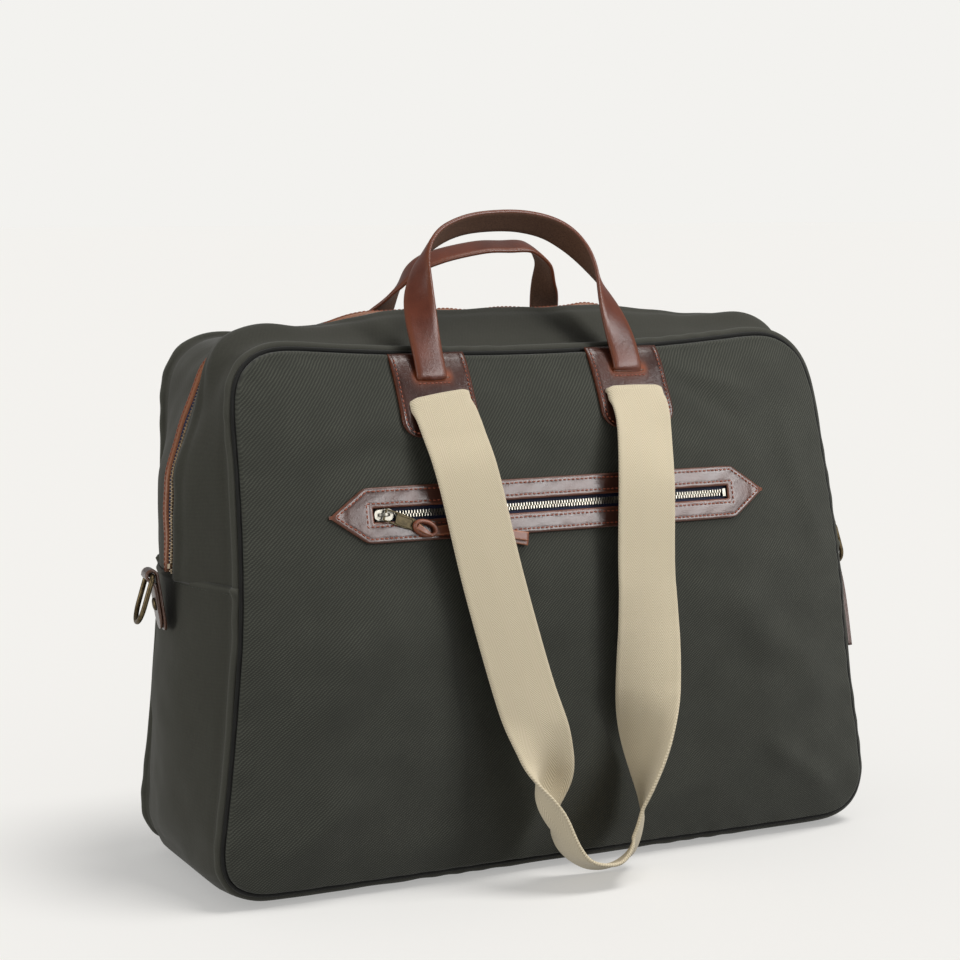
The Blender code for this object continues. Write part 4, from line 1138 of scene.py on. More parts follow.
def pocket_points(a, b, lift):
    a, b, lift = np.broadcast_arrays(np.asarray(a, float), np.asarray(b, float), np.asarray(lift, float))
    x = POCKET[0] + a
    z = POCKET[2] + b * UP[2]
    y = face(-1, x, z)
    return np.stack([x, y, z], -1) + OUT * lift[..., None]


def build_pocket():
    columns = np.concatenate([
        -POCKET_TIP + (POCKET_TIP - POCKET_CORNER) * np.linspace(0, 1, 26)[:-1],
        np.linspace(-POCKET_CORNER, -WINDOW_X, 7)[:-1],
        np.linspace(-WINDOW_X, WINDOW_X, 241),
        np.linspace(WINDOW_X, POCKET_CORNER, 7)[1:],
        POCKET_CORNER + (POCKET_TIP - POCKET_CORNER) * np.linspace(0, 1, 26)[1:],
    ])
    line = POCKET_HALF * (POCKET_TIP - np.abs(columns)) / (POCKET_TIP - POCKET_CORNER)
    tall = (POCKET_HALF + line - np.sqrt((POCKET_HALF - line) ** 2 + 0.0016**2)) / 2
    tall = np.maximum(tall, 0.0011)
    hole = np.minimum(WINDOW_HALF, tall * 0.5)
    steps = np.linspace(0, 1, 22)
    b = np.concatenate([-(tall[:, None] + (hole - tall)[:, None] * steps),
                        (hole[:, None] + (tall - hole)[:, None] * steps)], 1)
    a = np.repeat(columns[:, None], b.shape[1], 1)
    point = POCKET_TIP - np.abs(a) - np.abs(b) * (POCKET_TIP - POCKET_CORNER) / POCKET_HALF
    slant = math.hypot(POCKET_TIP - POCKET_CORNER, POCKET_HALF)
    outer = np.minimum(POCKET_HALF - np.abs(b), point * POCKET_HALF / slant)
    inner = np.maximum(np.abs(b) - WINDOW_HALF, np.abs(a) - WINDOW_X)
    dip = 0.00022 * hill(outer, 0.0009, 0.0028) + 0.00022 * hill(inner, 0.0009, 0.0030)
    crown = 0.00012 * hill(outer, 0.0040, 0.0080)
    lift = 0.0026 - dip + crown - 0.0007 * hill(np.maximum(outer, 0), 0.0007)
    lift = lift - 0.0007 * hill(np.maximum(inner, 0), 0.0007)
    lift = lift + 0.00012 * np.sin(a * 330) * np.sin(b * 500)
    top = pocket_points(a, b, lift)
    base = pocket_points(a, b, 0.0003)
    wear = np.maximum(0.5 * hill(outer, 0.0009), 0.8 * hill(inner, 0.0014))
    tip = np.maximum(0, (np.abs(a) - 0.150) / 0.018)
    wear = np.clip(wear + 0.35 * tip, 0, 1)
    rows, cols = a.shape
    points = np.concatenate([top.reshape(-1, 3), base.reshape(-1, 3)])
    total = rows * cols
    cells = set()
    for i in range(rows - 1):
        for j in range(cols - 1):
            window = j == 21 and abs((columns[i] + columns[i + 1]) / 2) < WINDOW_X
            if not window:
                cells.add((i, j))
    faces = []
    for i, j in sorted(cells):
        corners = [i * cols + j, (i + 1) * cols + j, (i + 1) * cols + j + 1, i * cols + j + 1]
        faces.append(tuple(corners))
        faces.append(tuple(total + c for c in reversed(corners)))
        beside = [(i, j - 1), (i + 1, j), (i, j + 1), (i - 1, j)]
        for side, other in enumerate(beside):
            if other not in cells:
                p = corners[side]
                q = corners[(side + 1) % 4]
                faces.append((q, p, total + p, total + q))
    wears = np.concatenate([wear.reshape(-1), np.full(total, 0.8)])
    add_piece("pocket_leather", points, faces, LEATHER, "bag", ("pocket_surround",), wear=wears)
    pocket_stitch_rows()
    for name, sign, node in (("upper", 1, "pocket_tape_upper"), ("lower", -1, "pocket_tape_lower")):
        a = np.linspace(-0.1405, 0.1405, 90)
        band = (0.0016, 0.0040, 0.0065, 0.0088)
        grid = np.stack([pocket_points(a, sign * v, -0.0011 - 0.0003 * (k == 0)) for k, v in enumerate(band)], 1)
        add_piece("pocket_cloth_tape_" + name, grid.reshape(-1, 3), grid_faces(len(a), 4), NAVY, "bag",
                  (node,))
    a = np.linspace(-0.1340, 0.1335, 200)
    path = pocket_points(a, 0.0, 0.0)
    teeth("pocket_brass_teeth", path, np.tile(OUT, (len(a), 1)), 0.0021, 0.0024, 0.0009, -0.0016, 0.0006,
          ("pocket_zip_teeth",), PALE_METAL)


def pocket_stitch_rows():
    inset = 0.0028
    corner = POCKET_CORNER - inset * 0.45
    tip = POCKET_TIP - inset * 1.55
    half = POCKET_HALF - inset
    hexagon = [(-corner, half), (corner, half), (tip, 0), (corner, -half), (-corner, -half), (-tip, 0),
               (-corner, half)]
    frame_row = [(-0.1422, 0.0077), (0.1412, 0.0077), (0.1412, -0.0077), (-0.1422, -0.0077),
                 (-0.1422, 0.0077)]
    for name, corners in (("pocket_outer_stitches", hexagon), ("pocket_inner_stitches", frame_row)):
        a = []
        b = []
        for (a0, b0), (a1, b1) in zip(corners, corners[1:]):
            steps = max(int(math.hypot(a1 - a0, b1 - b0) / 0.0015), 2)
            a += list(np.linspace(a0, a1, steps)[:-1])
            b += list(np.linspace(b0, b1, steps)[:-1])
        a.append(corners[-1][0])
        b.append(corners[-1][1])
        path = pocket_points(np.array(a), np.array(b), 0.0025)
        stitches(name, path, np.tile(OUT, (len(a), 1)), RUST_THREAD, pitch=0.0034, long=0.0026, radius=0.00052)


def slider_pieces(name, origin, along, across, normal, long_half, wide_half, base, material, node):
    """A die-cast slider: a waisted top plate, a bridge, and flanges beside the teeth."""
    origin, along, across, normal = [Vector(v) for v in (origin, along, across, normal)]
    outline = []
    for k in range(40):
        t = 2 * math.pi * k / 40
        c = math.cos(t)
        s = math.sin(t)
        a = long_half * math.copysign(abs(c) ** 0.55, c)
        b = wide_half * math.copysign(abs(s) ** 0.55, s) * (0.80 + 0.20 * (c + 1) / 2)
        outline.append((a, b))
    top = plate(name + "_plate", outline, (origin, along, across, normal), base, base + 0.0014, material,
                name, stands_for=(node,), rounded=0.0004)
    for side in (-1, 1):
        bar = [(a, side * (wide_half * 0.82 + (0.0005 if a > 0 else 0.0)))
               for a in np.linspace(-long_half * 0.8, long_half * 0.85, 8)]
        path = np.array([tuple(origin + along * a + across * b + normal * (base - 0.0004)) for a, b in bar])
        end = "left" if side < 0 else "right"
        rail = tube("%s_flange_%s" % (name, end), path, 0.0009, material, name, 8)
        rail.parent = rail.parent
    arch = []
    for k in range(25):
        t = k / 24
        a = -0.0038 + 0.0076 * t
        high = base + 0.0012 + 0.0034 * math.sin(math.pi * t) ** 0.45
        arch.append(tuple(origin + along * a + normal * high))
    arch = np.array(arch)
    ribbon(name + "_bridge", arch, np.tile(np.array(normal), (25, 1)) + 1e-4, 0.0022, 0.0009, material,
           name)
    return top


def pull_pieces(name, frame_of, length, half, opening, material, node, body):
    """A cast pull: a tapered frame round a sunk panel, a window for the bridge and a lace hole."""
    origin, way, across, normal = [Vector(v) for v in frame_of]
    head = 0.0082
    outline = []
    for a, b in ((-0.0008, half * 0.92), (head, half), (length * 0.6, half * 0.95), (length - 0.0025, half * 0.80),
                 (length, half * 0.35)):
        outline.append((a, b))
    outline = outline + [(a, -b) for a, b in reversed(outline)]
    window = [(0.0006, -opening), (head - 0.0002, -opening), (head - 0.0002, opening), (0.0006, opening)]
    hole = circle(0.0015, 14, (length - 0.0040, 0.0))
    plate(name + "_body", outline, (origin, way, across, normal), -0.0005, 0.0004, material, body,
          holes=(window, hole), stands_for=(node,), rounded=0.00025)
    rim_middle = (head + (length - head - 0.0068) / 2, 0.0)
    rim_in = rounded_box((length - head - 0.0085) / 2, half * 0.58, 0.0010, 3, rim_middle)
    rim_out = rounded_box((length - head - 0.0060) / 2, half * 0.80, 0.0014, 3, rim_middle)
    plate(name + "_rim", rim_out, (origin, way, across, normal), 0.0003, 0.0008, material, body,
          holes=(rim_in,), rounded=0.0002)


def build_pocket_hardware():
    here = pocket_points(POCKET_SLIDER_X, 0.0, 0.0)
    first = np.array((1.0, 0, 0))
    slider_pieces("pocket_slider", here, first, UP, OUT, 0.0068, 0.0042, 0.0002, NICKEL,
                  "pocket_slider")
    way = first * math.cos(PULL_DROOP) - UP * math.sin(PULL_DROOP)
    across = UP * math.cos(PULL_DROOP) + first * math.sin(PULL_DROOP)
    hinge = here + OUT * 0.0038
    pull_pieces("pocket_pull", (hinge, way, across, OUT), 0.0275, 0.0045, 0.0033, PULL_BRASS,
                "pocket_pull", "pocket_pull")
    knot = hinge + way * 0.0282 + OUT * 0.0006
    turns = np.linspace(0, 2 * math.pi, 41)[:-1]
    ring = np.array([
        knot + way * (0.0012 + 0.0078 * math.cos(t)) + across * (0.0042 * math.sin(t))
        + OUT * (0.0014 + 0.0010 * math.sin(t))
        for t in turns
    ])
    tube("pocket_lace_loop", ring, 0.0021, LACE_LEATHER, "pocket_pull", 10, True, flat=0.7,
         up=tuple(OUT))
    start = knot + way * 0.0076
    end = np.array((-0.0320, plain_surface(-1, -0.0320, 0.2376) - 0.0052, 0.2376))
    middle = np.array((-0.078, start[1] + 0.0008, 0.2453)) + OUT * 0.0012
    routes = (
        ("pocket_lace_upper", (start, middle, end), 0.0, 0.0062),
        ("pocket_lace_lower", (start, middle, end + np.array((0.0006, 0, 0.0))), -0.0032, 0.0056),
    )
    for name, route, drop, width in routes:
        path = smooth_path(route, 40)
        path = path + UP * (drop * np.linspace(0.2, 1, 40))[:, None] + OUT * (drop * 0.75)
        node = ("pocket_lace",) if drop == 0 else ()
        made = ribbon(name, path, np.tile(OUT, (40, 1)), width, 0.0017, LACE_LEATHER, "pocket_pull",
                      node, wear_edge=0.9)
    tail = smooth_path((knot - way * 0.0052 - across * 0.0008 + OUT * 0.0028,
                        knot + way * 0.0010 - across * 0.0026 + OUT * 0.0036,
                        knot + way * 0.0075 - across * 0.0034 + OUT * 0.0022), 18)
    ribbon("pocket_lace_tail", tail, np.tile(OUT, (18, 1)), 0.0040, 0.0016, LACE_LEATHER, "pocket_pull",
           widths=np.linspace(1, 0.12, 18) ** 0.5 * 0.0040, wear_edge=0.9)


# --- patches, handles, webbing ---


def build_patch(row, side, sign, centre):
    name = "%s_patch_%s" % (row, side)
    radius = 0.012
    rises = np.concatenate([radius * (1 - np.cos(np.linspace(0, math.pi / 2, 13))),
                            np.linspace(radius, PATCH_TOP - PATCH_BOTTOM, 36)[1:]])
    z = PATCH_BOTTOM + rises
    drop = np.maximum(0.0, PATCH_BOTTOM + radius - z)
    half = PATCH_HALF - radius + np.sqrt(np.maximum(radius**2 - drop**2, 0.0))
    columns = np.linspace(-1, 1, 41)
    u = np.sign(columns) * (1 - (1 - np.abs(columns)) ** 1.4)
    x = centre + half[:, None] * u
    zz = np.repeat(z[:, None], len(u), 1)
    edge_side = half[:, None] * (1 - np.abs(u))
    edge = np.minimum(edge_side, (zz - PATCH_BOTTOM) + 0.0)
    dip = 0.0005 * hill(edge, 0.0009, 0.0027)
    lift = PATCH_THICK + 0.0003 - dip - 0.0008 * hill(edge, 0.0008)
    lift = lift + 0.0002 * np.sin(zz * 210) * np.cos((x - centre) * 120)
    fall = ease(zz, PATCH_TOP - 0.004, PATCH_TOP)
    cloth = face(sign, x, zz)
    top = np.stack([x, cloth + sign * (lift - 0.0012 * fall), zz], -1)
    base = np.stack([x, cloth + sign * 0.0002, zz], -1)
    rows, cols = x.shape
    total = rows * cols
    faces = grid_faces(rows, cols)
    faces += [tuple(total + v for v in reversed(f)) for f in grid_faces(rows, cols)]
    rim = [(0, j) for j in range(cols)] + [(i, cols - 1) for i in range(1, rows)]
    rim += [(rows - 1, j) for j in range(cols - 2, -1, -1)] + [(i, 0) for i in range(rows - 2, 0, -1)]
    flat = [i * cols + j for i, j in rim]
    for k, p in enumerate(flat):
        q = flat[(k + 1) % len(flat)]
        faces.append((p, q, total + q, total + p))
    wear = 0.22 * hill(edge, 0.0011)
    slot_near = hill(zz, 0.004, SLOT_Z - 0.002) * (1 - ease(np.abs(x - centre), 0.012, 0.017))
    wear = np.clip(wear + 0.85 * slot_near, 0, 1)
    wears = np.concatenate([wear.reshape(-1), np.full(total, 0.6)])
    add_piece(name + "_leather", np.concatenate([top.reshape(-1, 3), base.reshape(-1, 3)]), faces, PATCH_LEATHER,
              "bag", (name,), wear=wears)
    inset = 0.0027
    turn = np.linspace(0, math.pi / 2, 12)
    r = radius - inset
    left = [(-PATCH_HALF + inset, PATCH_TOP - 0.003), (-PATCH_HALF + inset, PATCH_BOTTOM + radius)]
    line = [(-PATCH_HALF + inset, v) for v in np.linspace(left[0][1], left[1][1], 26)]
    line += [(-PATCH_HALF + radius - r * math.cos(t), PATCH_BOTTOM + radius - r * math.sin(t)) for t in turn]
    line += [(PATCH_HALF - radius + r * math.sin(t), PATCH_BOTTOM + radius - r * math.cos(t)) for t in turn]
    line += [(PATCH_HALF - inset, v) for v in np.linspace(left[1][1], left[0][1], 26)]
    line = np.array(line)
    normal = np.tile(np.array((0.0, sign * 0.97, 0.24)), (len(line), 1))
    y = face(sign, centre + line[:, 0], line[:, 1]) + sign * (PATCH_THICK - 0.0001)
    stitches(name + "_stitches", np.stack([centre + line[:, 0], y, line[:, 1]], 1), normal, RUST_THREAD,
             radius=0.0005)
    low = SLOT_Z - 0.0066
    across = np.linspace(-0.0125, 0.0125, 16)
    y = face(sign, centre + across, low) + sign * (PATCH_THICK + 0.0003)
    stitches(name + "_slot_stitches", np.stack([centre + across, y, np.full(16, low)], 1), normal[:16], RUST_THREAD,
             pitch=0.0030)
    lip = np.linspace(-0.0122, 0.0122, 16)
    level = SLOT_Z - 0.0034 + 0.0004 * (lip / 0.0122) ** 2
    y = face(sign, centre + lip, level) + sign * (PATCH_THICK + 0.0004)
    size = 0.0012 * np.sqrt(np.maximum(1 - (lip / 0.0128) ** 2, 0.1))
    tube(name + "_slot_lip", np.stack([centre + lip, y, level], 1), size, COGNAC, "bag", 10)


def handle_path(sign, route, lean_back, free):
    centre = DETAIL_X[sign]
    foot = plain_surface(sign, centre + PATCH_X, SLOT_Z) + sign * (0.0016 + PATCH_THICK + HANDLE_THICK / 2)
    points = []
    for x, rise in route:
        over = max(0.0, rise - free)
        y = foot - sign * over * math.sin(lean_back)
        z = SLOT_Z + min(rise, free) + over * math.cos(lean_back)
        points.append(Vector((centre + x, y, z)))
    return points


def build_handle(name, node, sign, route, lean_back, free):
    points = handle_path(sign, route, lean_back, free)
    out = np.array((0.0, sign * math.cos(lean_back), math.sin(lean_back)))
    if free > 0.0:
        out = np.array((0.0, float(sign), 0.0))
    if sign > 0:
        points = points[::-1]
    dive = Vector((0.0, -sign * 0.0034, -0.0036))
    points = [points[0] + dive] + points + [points[-1] + dive]
    path = smooth_path(points, 160)
    way = tangents(path)
    outward = unit(np.cross(out, way))
    share = length_of(path) / length_of(path)[-1]
    angle = math.radians(108) * ease(np.minimum(share, 1 - share), 0.06, 0.36)
    normal = out * np.cos(angle)[:, None] + outward * np.sin(angle)[:, None]
    ribbon(name, path, normal, HANDLE_WIDTH, HANDLE_THICK * 0.9, HANDLE_LEATHER, node, (node,),
           cup=0.0005, flesh=FLESH, wear_edge=1.0)


def webbing_leg_y(sign, z, top):
    table = (FRONT_HANG if sign < 0 else REAR_HANG) + ((FOLD_Z, top),)
    return float(np.interp(z, [r[0] for r in table], [r[1] for r in table]))


def turn_of(share):
    return np.radians(np.interp(share, [row[0] for row in WEBBING_TURN], [row[1] for row in WEBBING_TURN]))


def build_webbing(name, node, sign):
    """A woven strap that hangs in a loop and curls over towards its foot."""
    centre = DETAIL_X[sign]
    top = plain_surface(sign, centre + PATCH_X, FOLD_Z) + sign * (0.0012 + PATCH_THICK + 0.0029)
    points = []
    for x, z in WEBBING:
        y = sign * webbing_leg_y(sign, z, abs(top))
        points.append(Vector((centre + x if sign < 0 else centre - x, y, z)))
    path = smooth_path(points, 320)
    run = length_of(path)
    share = run / run[-1]
    way = tangents(path)
    out = np.array((0.0, float(sign), 0.0))
    outward = unit(np.cross(out, way))
    parts = np.concatenate([[-0.5], np.linspace(-0.485, 0.485, 19), [0.5]])
    curl = 0.024 * (1 - ease(share, 0.43, 0.52)) - 0.012 * ease(share, 0.50, 0.58)
    angle = turn_of(share[:, None] + curl[:, None] * parts[None, :] * 2)
    normal = out * np.cos(angle)[..., None] + outward[:, None, :] * np.sin(angle)[..., None]
    normal = unit(normal - way[:, None, :] * (normal * way[:, None, :]).sum(2, keepdims=True))
    across = np.cross(way[:, None, :], normal)
    step = np.diff(parts) * WEBBING_WIDTH
    between = (across[:, 1:] + across[:, :-1]) / 2 * step[None, :, None]
    cloth = np.concatenate([np.zeros((len(path), 1, 3)), np.cumsum(between, 1)], 1)
    cloth = cloth - cloth[:, 10:11] + path[:, None, :]
    rows = [cloth]
    looks = [normal]
    lengths = [run]
    for end in (0, -1):
        level = cloth[end]
        look = normal[end]
        steps = []
        for back, drop in ((0.0006, 0.0012), (0.0022, 0.0030), (0.0036, 0.0024), (0.0042, -0.0002),
                           (0.0044, -0.0060), (0.0046, -0.0160)):
            steps.append(level + np.array((0.0, -sign * back, drop)))
        ways = [unit(look * a + np.array((0, 0, 1.0)) * b)
                for a, b in ((0.8, 0.6), (0.3, 1), (-0.6, 0.8), (-1, 0.1), (-1, 0), (-1, 0))]
        block = np.stack(steps)
        faced = np.stack(ways)
        spans = np.array((0.0014, 0.0038, 0.0055, 0.0083, 0.0141, 0.0241))
        if end == 0:
            rows.insert(0, block[::-1])
            looks.insert(0, faced[::-1])
            lengths.insert(0, -spans[::-1])
        else:
            rows.append(block)
            looks.append(faced)
            lengths.append(run[-1] + spans)
    grid = np.concatenate(rows)
    look = np.concatenate(looks)
    v = np.concatenate(lengths)
    off = np.minimum(np.abs(v), np.abs(v - run[-1]))
    droop = np.maximum(0.0, (np.abs(parts) - 0.36) / 0.14)[None, :] ** 2 * hill(off, 0.007)[:, None]
    grid[..., 2] -= 0.0034 * droop
    trough = 0.0125 * hill(v / run[-1], 0.036, 0.402) + 0.0040 * hill(v / run[-1], 0.03, 0.64)
    bow = (0.0004 - trough)[:, None] * (0.5 + 0.5 * np.cos(parts * math.pi * 2))[None, :]
    grid = grid + look * bow[..., None]
    edge = np.where(np.abs(parts) > 0.49, 0.45, np.where(np.abs(parts) > 0.48, 1.25, 1.0)) * 0.0021 / 2
    outer = grid + look * edge[None, :, None]
    inner = grid - look * edge[None, :, None]
    ring = np.concatenate([outer, inner[:, ::-1]], 1)
    per = ring.shape[1]
    uv_part = np.concatenate([parts, parts[::-1]]) * WEBBING_WIDTH + WEBBING_WIDTH / 2
    uv = np.stack([np.tile(uv_part, (len(ring), 1)), np.repeat(v[:, None], per, 1)], -1).reshape(-1, 2)
    faces = []
    for i in range(len(ring) - 1):
        for k in range(per):
            n = (k + 1) % per
            a = i * per
            faces.append((a + k, a + n, a + per + n, a + per + k))
    faces.append(tuple(range(per))[::-1])
    faces.append(tuple(range((len(ring) - 1) * per, len(ring) * per)))
    made = add_piece(name, ring.reshape(-1, 3), faces, ECRU, node, (node,), uv=uv)
    return made


# --- rings and the side slider ---


def side_frame(z, left):
    share = share_at_height(z, left)
    step = 0.004 / OUTLINE_LENGTH * (1 if left else -1)

    def plain(s):
        place, out = edge_at(np.array([s]))
        first = front_y(place[:, 1]) + EDGE
        last = rear_y(place[:, 1]) - EDGE
        y = (first + last) / 2 + ZIP_SHIFT
        across = ZIP_SHIFT / ((last - first) / 2)
        offset = gusset_bulge(place, out) * np.sin((1 - np.abs(across)) * math.pi / 2)
        return np.array((place[0, 0] + out[0, 0] * offset[0], y[0], place[0, 1] + out[0, 1] * offset[0])), out[0]

    a, _ = plain(share - step)
    b, _ = plain(share + step)
    origin, out = plain(share)
    up = unit(b - a)
    normal = np.array((out[0], 0.0, out[1]))
    normal = unit(normal - up * (normal @ up))
    side = np.cross(up, normal)
    if side[1] > 0:
        side = -side
    return origin, up, side, normal


def tab_frame(left):
    """Place of the tab's loop and the ways along, across and out of the tab, which leans out."""
    top, _, front, out = side_frame(TAB_TOP_Z, left)
    low = side_frame(TAB_TOP_Z - TAB_LENGTH, left)[0]
    up = unit(top - low)
    out = unit(out - up * (out @ up))
    front = unit(front - up * (front @ up) - out * (front @ out))
    leaning = up * math.cos(TAB_LEAN) + out * math.sin(TAB_LEAN)
    out = out * math.cos(TAB_LEAN) - up * math.sin(TAB_LEAN)
    turned = front * math.cos(TAB_YAW) + out * math.sin(TAB_YAW)
    out = out * math.cos(TAB_YAW) - front * math.sin(TAB_YAW)
    return low + leaning * np.linalg.norm(top - low), leaning, turned, out


def build_tab(side, left):
    origin, up, front, out = tab_frame(left)
    near = 0.0012 + TAB_HALF * math.sin(TAB_YAW) + TAB_THICK / 2
    radius = LOOP_RADIUS + TAB_THICK / 2
    centre = near + radius
    route = [(near, -TAB_LENGTH), (near, -TAB_LENGTH * 0.5), (near, -0.004), (near, 0.0)]
    for k in range(1, 12):
        turn = math.pi - math.pi * k / 12 * 1.16
        route.append((centre + radius * math.cos(turn), radius * math.sin(turn)))
    far = near + TAB_THICK + 0.0004
    route += [(far + 0.0012, -0.0052), (far, -0.0085), (far, -0.022), (far, -0.0370)]
    path = smooth_path([tuple(origin + out * a + up * b) for a, b in route], 110)
    run = length_of(path)
    left_over = np.minimum(run[-1] - run, run + 0.0012)
    width = np.full(len(path), TAB_HALF * 2)
    bow = np.clip(1 - left_over / TAB_HALF, 0, 1)
    width = width * np.sqrt(np.maximum(1 - bow**2, 0.02))
    way = tangents(path)
    normal = unit(np.cross(np.tile(front, (len(path), 1)), way))
    if normal[-1] @ out < 0:
        normal = -normal
    ribbon("ring_tab_%s_leather" % side, path, normal, TAB_HALF * 2, TAB_THICK, TAB_LEATHER, "bag",
           ("ring_tab_" + side,), widths=width, wear_edge=0.7)
    head = origin + up * -0.0200 + out * (far + TAB_THICK / 2 + 0.0001)
    rings = ((0.0044, 0.0), (0.0044, 0.0006), (0.0040, 0.0011), (0.0030, 0.0015), (0.0016, 0.0017),
             (0.0002, 0.00175))
    points = []
    for r, h in rings:
        for k in range(28):
            t = 2 * math.pi * k / 28
            points.append(head + front * (r * math.cos(t)) + up * (r * math.sin(t)) + out * h)
    faces = []
    for i in range(len(rings) - 1):
        for k in range(28):
            n = (k + 1) % 28
            faces.append((i * 28 + k, i * 28 + n, i * 28 + 28 + n, i * 28 + 28 + k))
    faces.append(tuple(range(28))[::-1])
    faces.append(tuple((len(rings) - 1) * 28 + k for k in range(28)))
    add_piece("rivet_%s_head" % side, points, faces, OLD_BRASS, "bag", ("rivet_" + side,))
    hub = origin + out * centre
    hang = unit(out * RING_TILT - up)
    half = RING_HALF_WIDE - RING_WIRE
    long = RING_LONG - 2 * RING_WIRE
    corner = 0.0125
    outline = []
    for ca, cb, start, r in (
        (half - 0.0035, 0.0035, 270, 0.0035), (half - corner, long - corner, 0, corner),
        (-half + corner, long - corner, 90, corner), (-half + 0.0035, 0.0035, 180, 0.0035),
    ):
        for k in range(13):
            t = math.radians(start + 90 * k / 12)
            outline.append((ca + r * math.cos(t), cb + r * math.sin(t)))
    path = np.array([hub + front * a + hang * b for a, b in outline])
    tube("ring_%s_wire" % side, path, RING_WIRE, OLD_BRASS, "ring_" + side, 14, True,
         ("ring_" + side,), up=tuple(np.cross(front, hang)))


def build_side_slider():
    origin, up, front, out = side_frame(MAIN_SLIDER_Z, False)
    slider_pieces("main_slider", origin, up, front, out, 0.0075, 0.0058, 0.0016, OLD_BRASS,
                  "main_slider")
    down = -up
    way = down * math.cos(MAIN_PULL_SWING) + front * math.sin(MAIN_PULL_SWING)
    across = front * math.cos(MAIN_PULL_SWING) - down * math.sin(MAIN_PULL_SWING)
    hinge = origin + out * 0.0053
    pull_pieces("main_pull", (hinge, way, across, out), 0.0265, 0.0046, 0.0034, OLD_BRASS,
                "main_pull", "main_pull")
    start = hinge + way * 0.0278 + out * 0.0002
    end = np.array(MAIN_LACE_END)
    middle = (start + end) / 2 + out * 0.003
    path = smooth_path((start, middle, end), 40)
    made = ribbon("main_lace_strap", path, np.tile(out, (40, 1)), 0.0040, 0.0030, DARK_LACE, "main_lace",
                  ("main_lace",), wear_edge=0.7)
    knot = hinge + way * 0.0275 + out * 0.0004
    turns = np.linspace(0, 2 * math.pi, 33)[:-1]
    ring = np.array([knot + way * (0.0056 * math.cos(t)) + out * (0.0030 * math.sin(t)) for t in turns])
    normal = np.array([way * (math.cos(t) / 0.0056) + out * (math.sin(t) / 0.0030) for t in turns])
    ribbon("main_lace_loop", ring, unit(normal), 0.0048, 0.0014, DARK_LACE, "main_pull",
           closed=True, wear_edge=0.8)
    return made


# --- everything ---

build_face(-1, "front_face_cloth", "front_panel")
build_face(1, "rear_face_cloth", "rear_panel")
build_gussets()
# Painted shade in the seam grooves.
build_seam_groove_shade()
build_main_zip()
build_pocket()
build_pocket_hardware()
for row, sign in (("front", -1), ("rear", 1)):
    build_patch(row, "left", sign, DETAIL_X[sign] - PATCH_X)
    build_patch(row, "right", sign, DETAIL_X[sign] + PATCH_X)
build_handle("front_handle_strap", "front_handle", -1, FRONT_HANDLE, math.radians(23), 0.0)
build_handle("rear_handle_strap", "rear_handle", 1, REAR_HANDLE, math.radians(28.8), 0.024)
build_webbing("front_webbing_strap", "front_webbing", -1)
build_webbing("rear_webbing_strap", "rear_webbing", 1)
build_tab("left", True)
build_tab("right", False)
build_side_slider()

KEPT = {
    "front_lining": LINING, "rear_lining": LINING, "gusset_lining": LINING, "pocket_pouch": LINING,
    "base_board": BOARD, "main_zip_stop": BRASS, "pocket_zip_stop": NICKEL,
}
for node, finish in KEPT.items():
    for held in frame["nodes"][node].material_slots:
        held.material = finish


# --- studio ---


def build_floor():
    mesh = bpy.data.meshes.new("studio_floor")
    size = 30.0
    mesh.from_pydata([(-size, -size, 0), (size, -size, 0), (size, size, 0), (-size, size, 0)], [], [(0, 1, 2, 3)])
    n = Nodes("studio_floor_paint")
    tone = n.noise(0.8, 2.0)
    colour = n.ramp(tone, [(0.0, (0.618, 0.612, 0.598)), (1.0, (0.622, 0.616, 0.602))])
    n.finish(colour, 0.9, n.bump(n.noise(3.0), 0.0001, 0.1), specular=0.05)
    n.shader.inputs["Emission Color"].default_value = (0.364, 0.363, 0.358, 1.0)
    n.shader.inputs["Emission Strength"].default_value = 1.0
    mesh.materials.append(n.material)
    floor = bpy.data.objects.new("studio_floor", mesh)
    bpy.context.scene.collection.objects.link(floor)
    floor.visible_diffuse = False
    return floor


def panel_light(name, place, aim, size, power, skip=None):
    light = bpy.data.lights.new(name, "AREA")
    light.shape = "RECTANGLE"
    light.size = size[0]
    light.size_y = size[1]
    light.energy = power
    made = bpy.data.objects.new(name, light)
    made.location = place
    made.rotation_euler = (Vector(place) - Vector(aim)).to_track_quat("Z", "Y").to_euler()
    made.visible_camera = False
    bpy.context.scene.collection.objects.link(made)
    if skip is not None:
        group = bpy.data.collections.new(name + "_lights_not")
        group.objects.link(skip)
        group.collection_objects[0].light_linking.link_state = "EXCLUDE"
        made.light_linking.receiver_collection = group
    return made


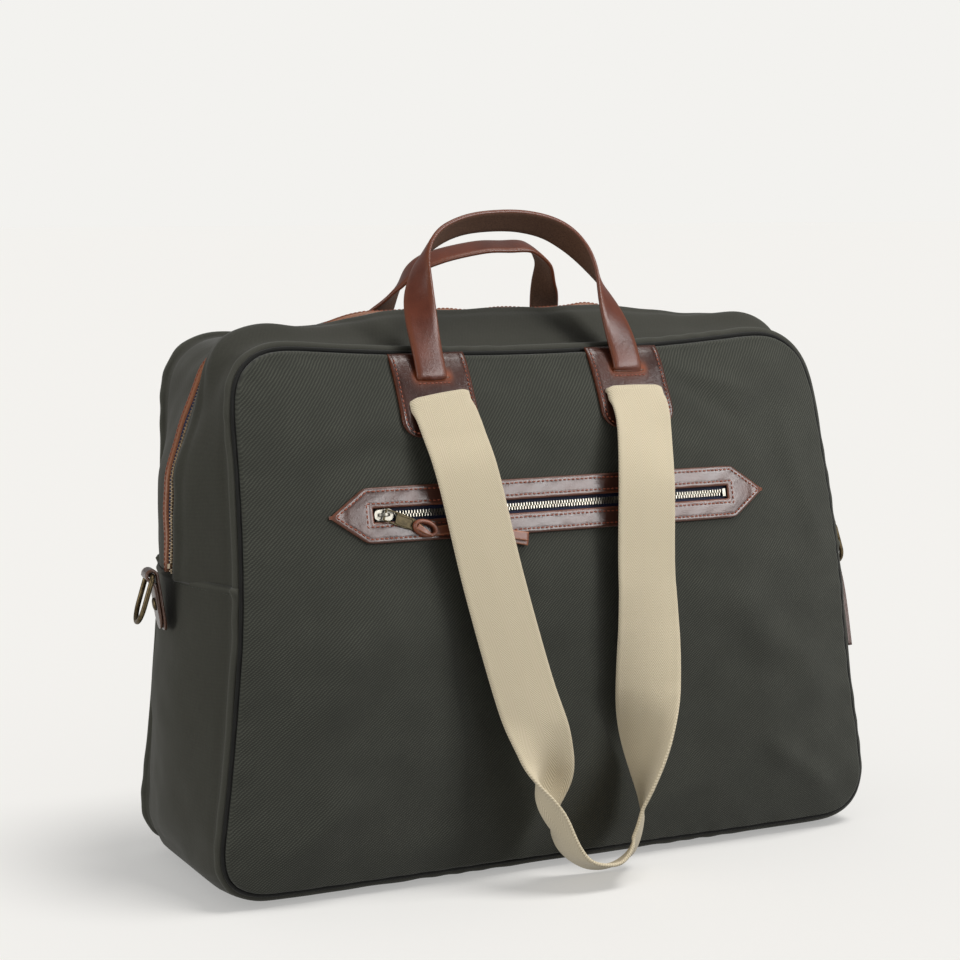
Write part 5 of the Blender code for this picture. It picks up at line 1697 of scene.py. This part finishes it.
def build_light(floor):
    world = bpy.data.worlds.new("studio")
    bpy.context.scene.world = world
    world.use_nodes = True
    tree = world.node_tree
    tree.nodes.clear()
    output = tree.nodes.new("ShaderNodeOutputWorld")
    seen = tree.nodes.new("ShaderNodeBackground")
    seen.inputs["Color"].default_value = (0.896, 0.888, 0.863, 1)
    seen.inputs["Strength"].default_value = 1.0
    lit = tree.nodes.new("ShaderNodeBackground")
    lit.inputs["Color"].default_value = (1.0, 0.985, 0.96, 1)
    lit.inputs["Strength"].default_value = 0.36
    ray = tree.nodes.new("ShaderNodeLightPath")
    mixed = tree.nodes.new("ShaderNodeMixShader")
    tree.links.new(ray.outputs["Is Camera Ray"], mixed.inputs[0])
    tree.links.new(lit.outputs[0], mixed.inputs[1])
    tree.links.new(seen.outputs[0], mixed.inputs[2])
    tree.links.new(mixed.outputs[0], output.inputs[0])
    sun = bpy.data.lights.new("key", "SUN")
    sun.energy = 1.7
    sun.angle = math.radians(24)
    sun.color = (1.0, 0.985, 0.96)
    key = bpy.data.objects.new("key", sun)
    key.rotation_euler = Vector((0.27, -0.19, 0.95)).to_track_quat("Z", "Y").to_euler()
    bpy.context.scene.collection.objects.link(key)
    low = panel_light("softbox", (1.00, -2.03, 0.70), (0.0, -0.07, 0.27), (1.15, 0.70), 42.0, floor)
    low.visible_diffuse = False
    panel_light("upper_panel", (0.86, -1.00, 0.98), (0.10, -0.06, 0.25), (0.45, 0.45), 14.5, floor)
    panel_light("side_panel", (-1.80, -0.20, 0.34), (-0.27, 0.0, 0.20), (0.8, 0.8), 16.0, floor)


build_light(build_floor())
camera_data = bpy.data.cameras.new("camera")
camera_data.lens = 84.8
camera_data.sensor_width = 36.0
camera = bpy.data.objects.new("camera", camera_data)
camera.location = (-0.733, -1.429, 0.4688)
camera.rotation_euler = (math.radians(90 - 7.22), 0.0, math.radians(-26.23))
bpy.context.scene.collection.objects.link(camera)
bpy.context.scene.camera = camera
bpy.context.scene.view_settings.view_transform = "Standard"
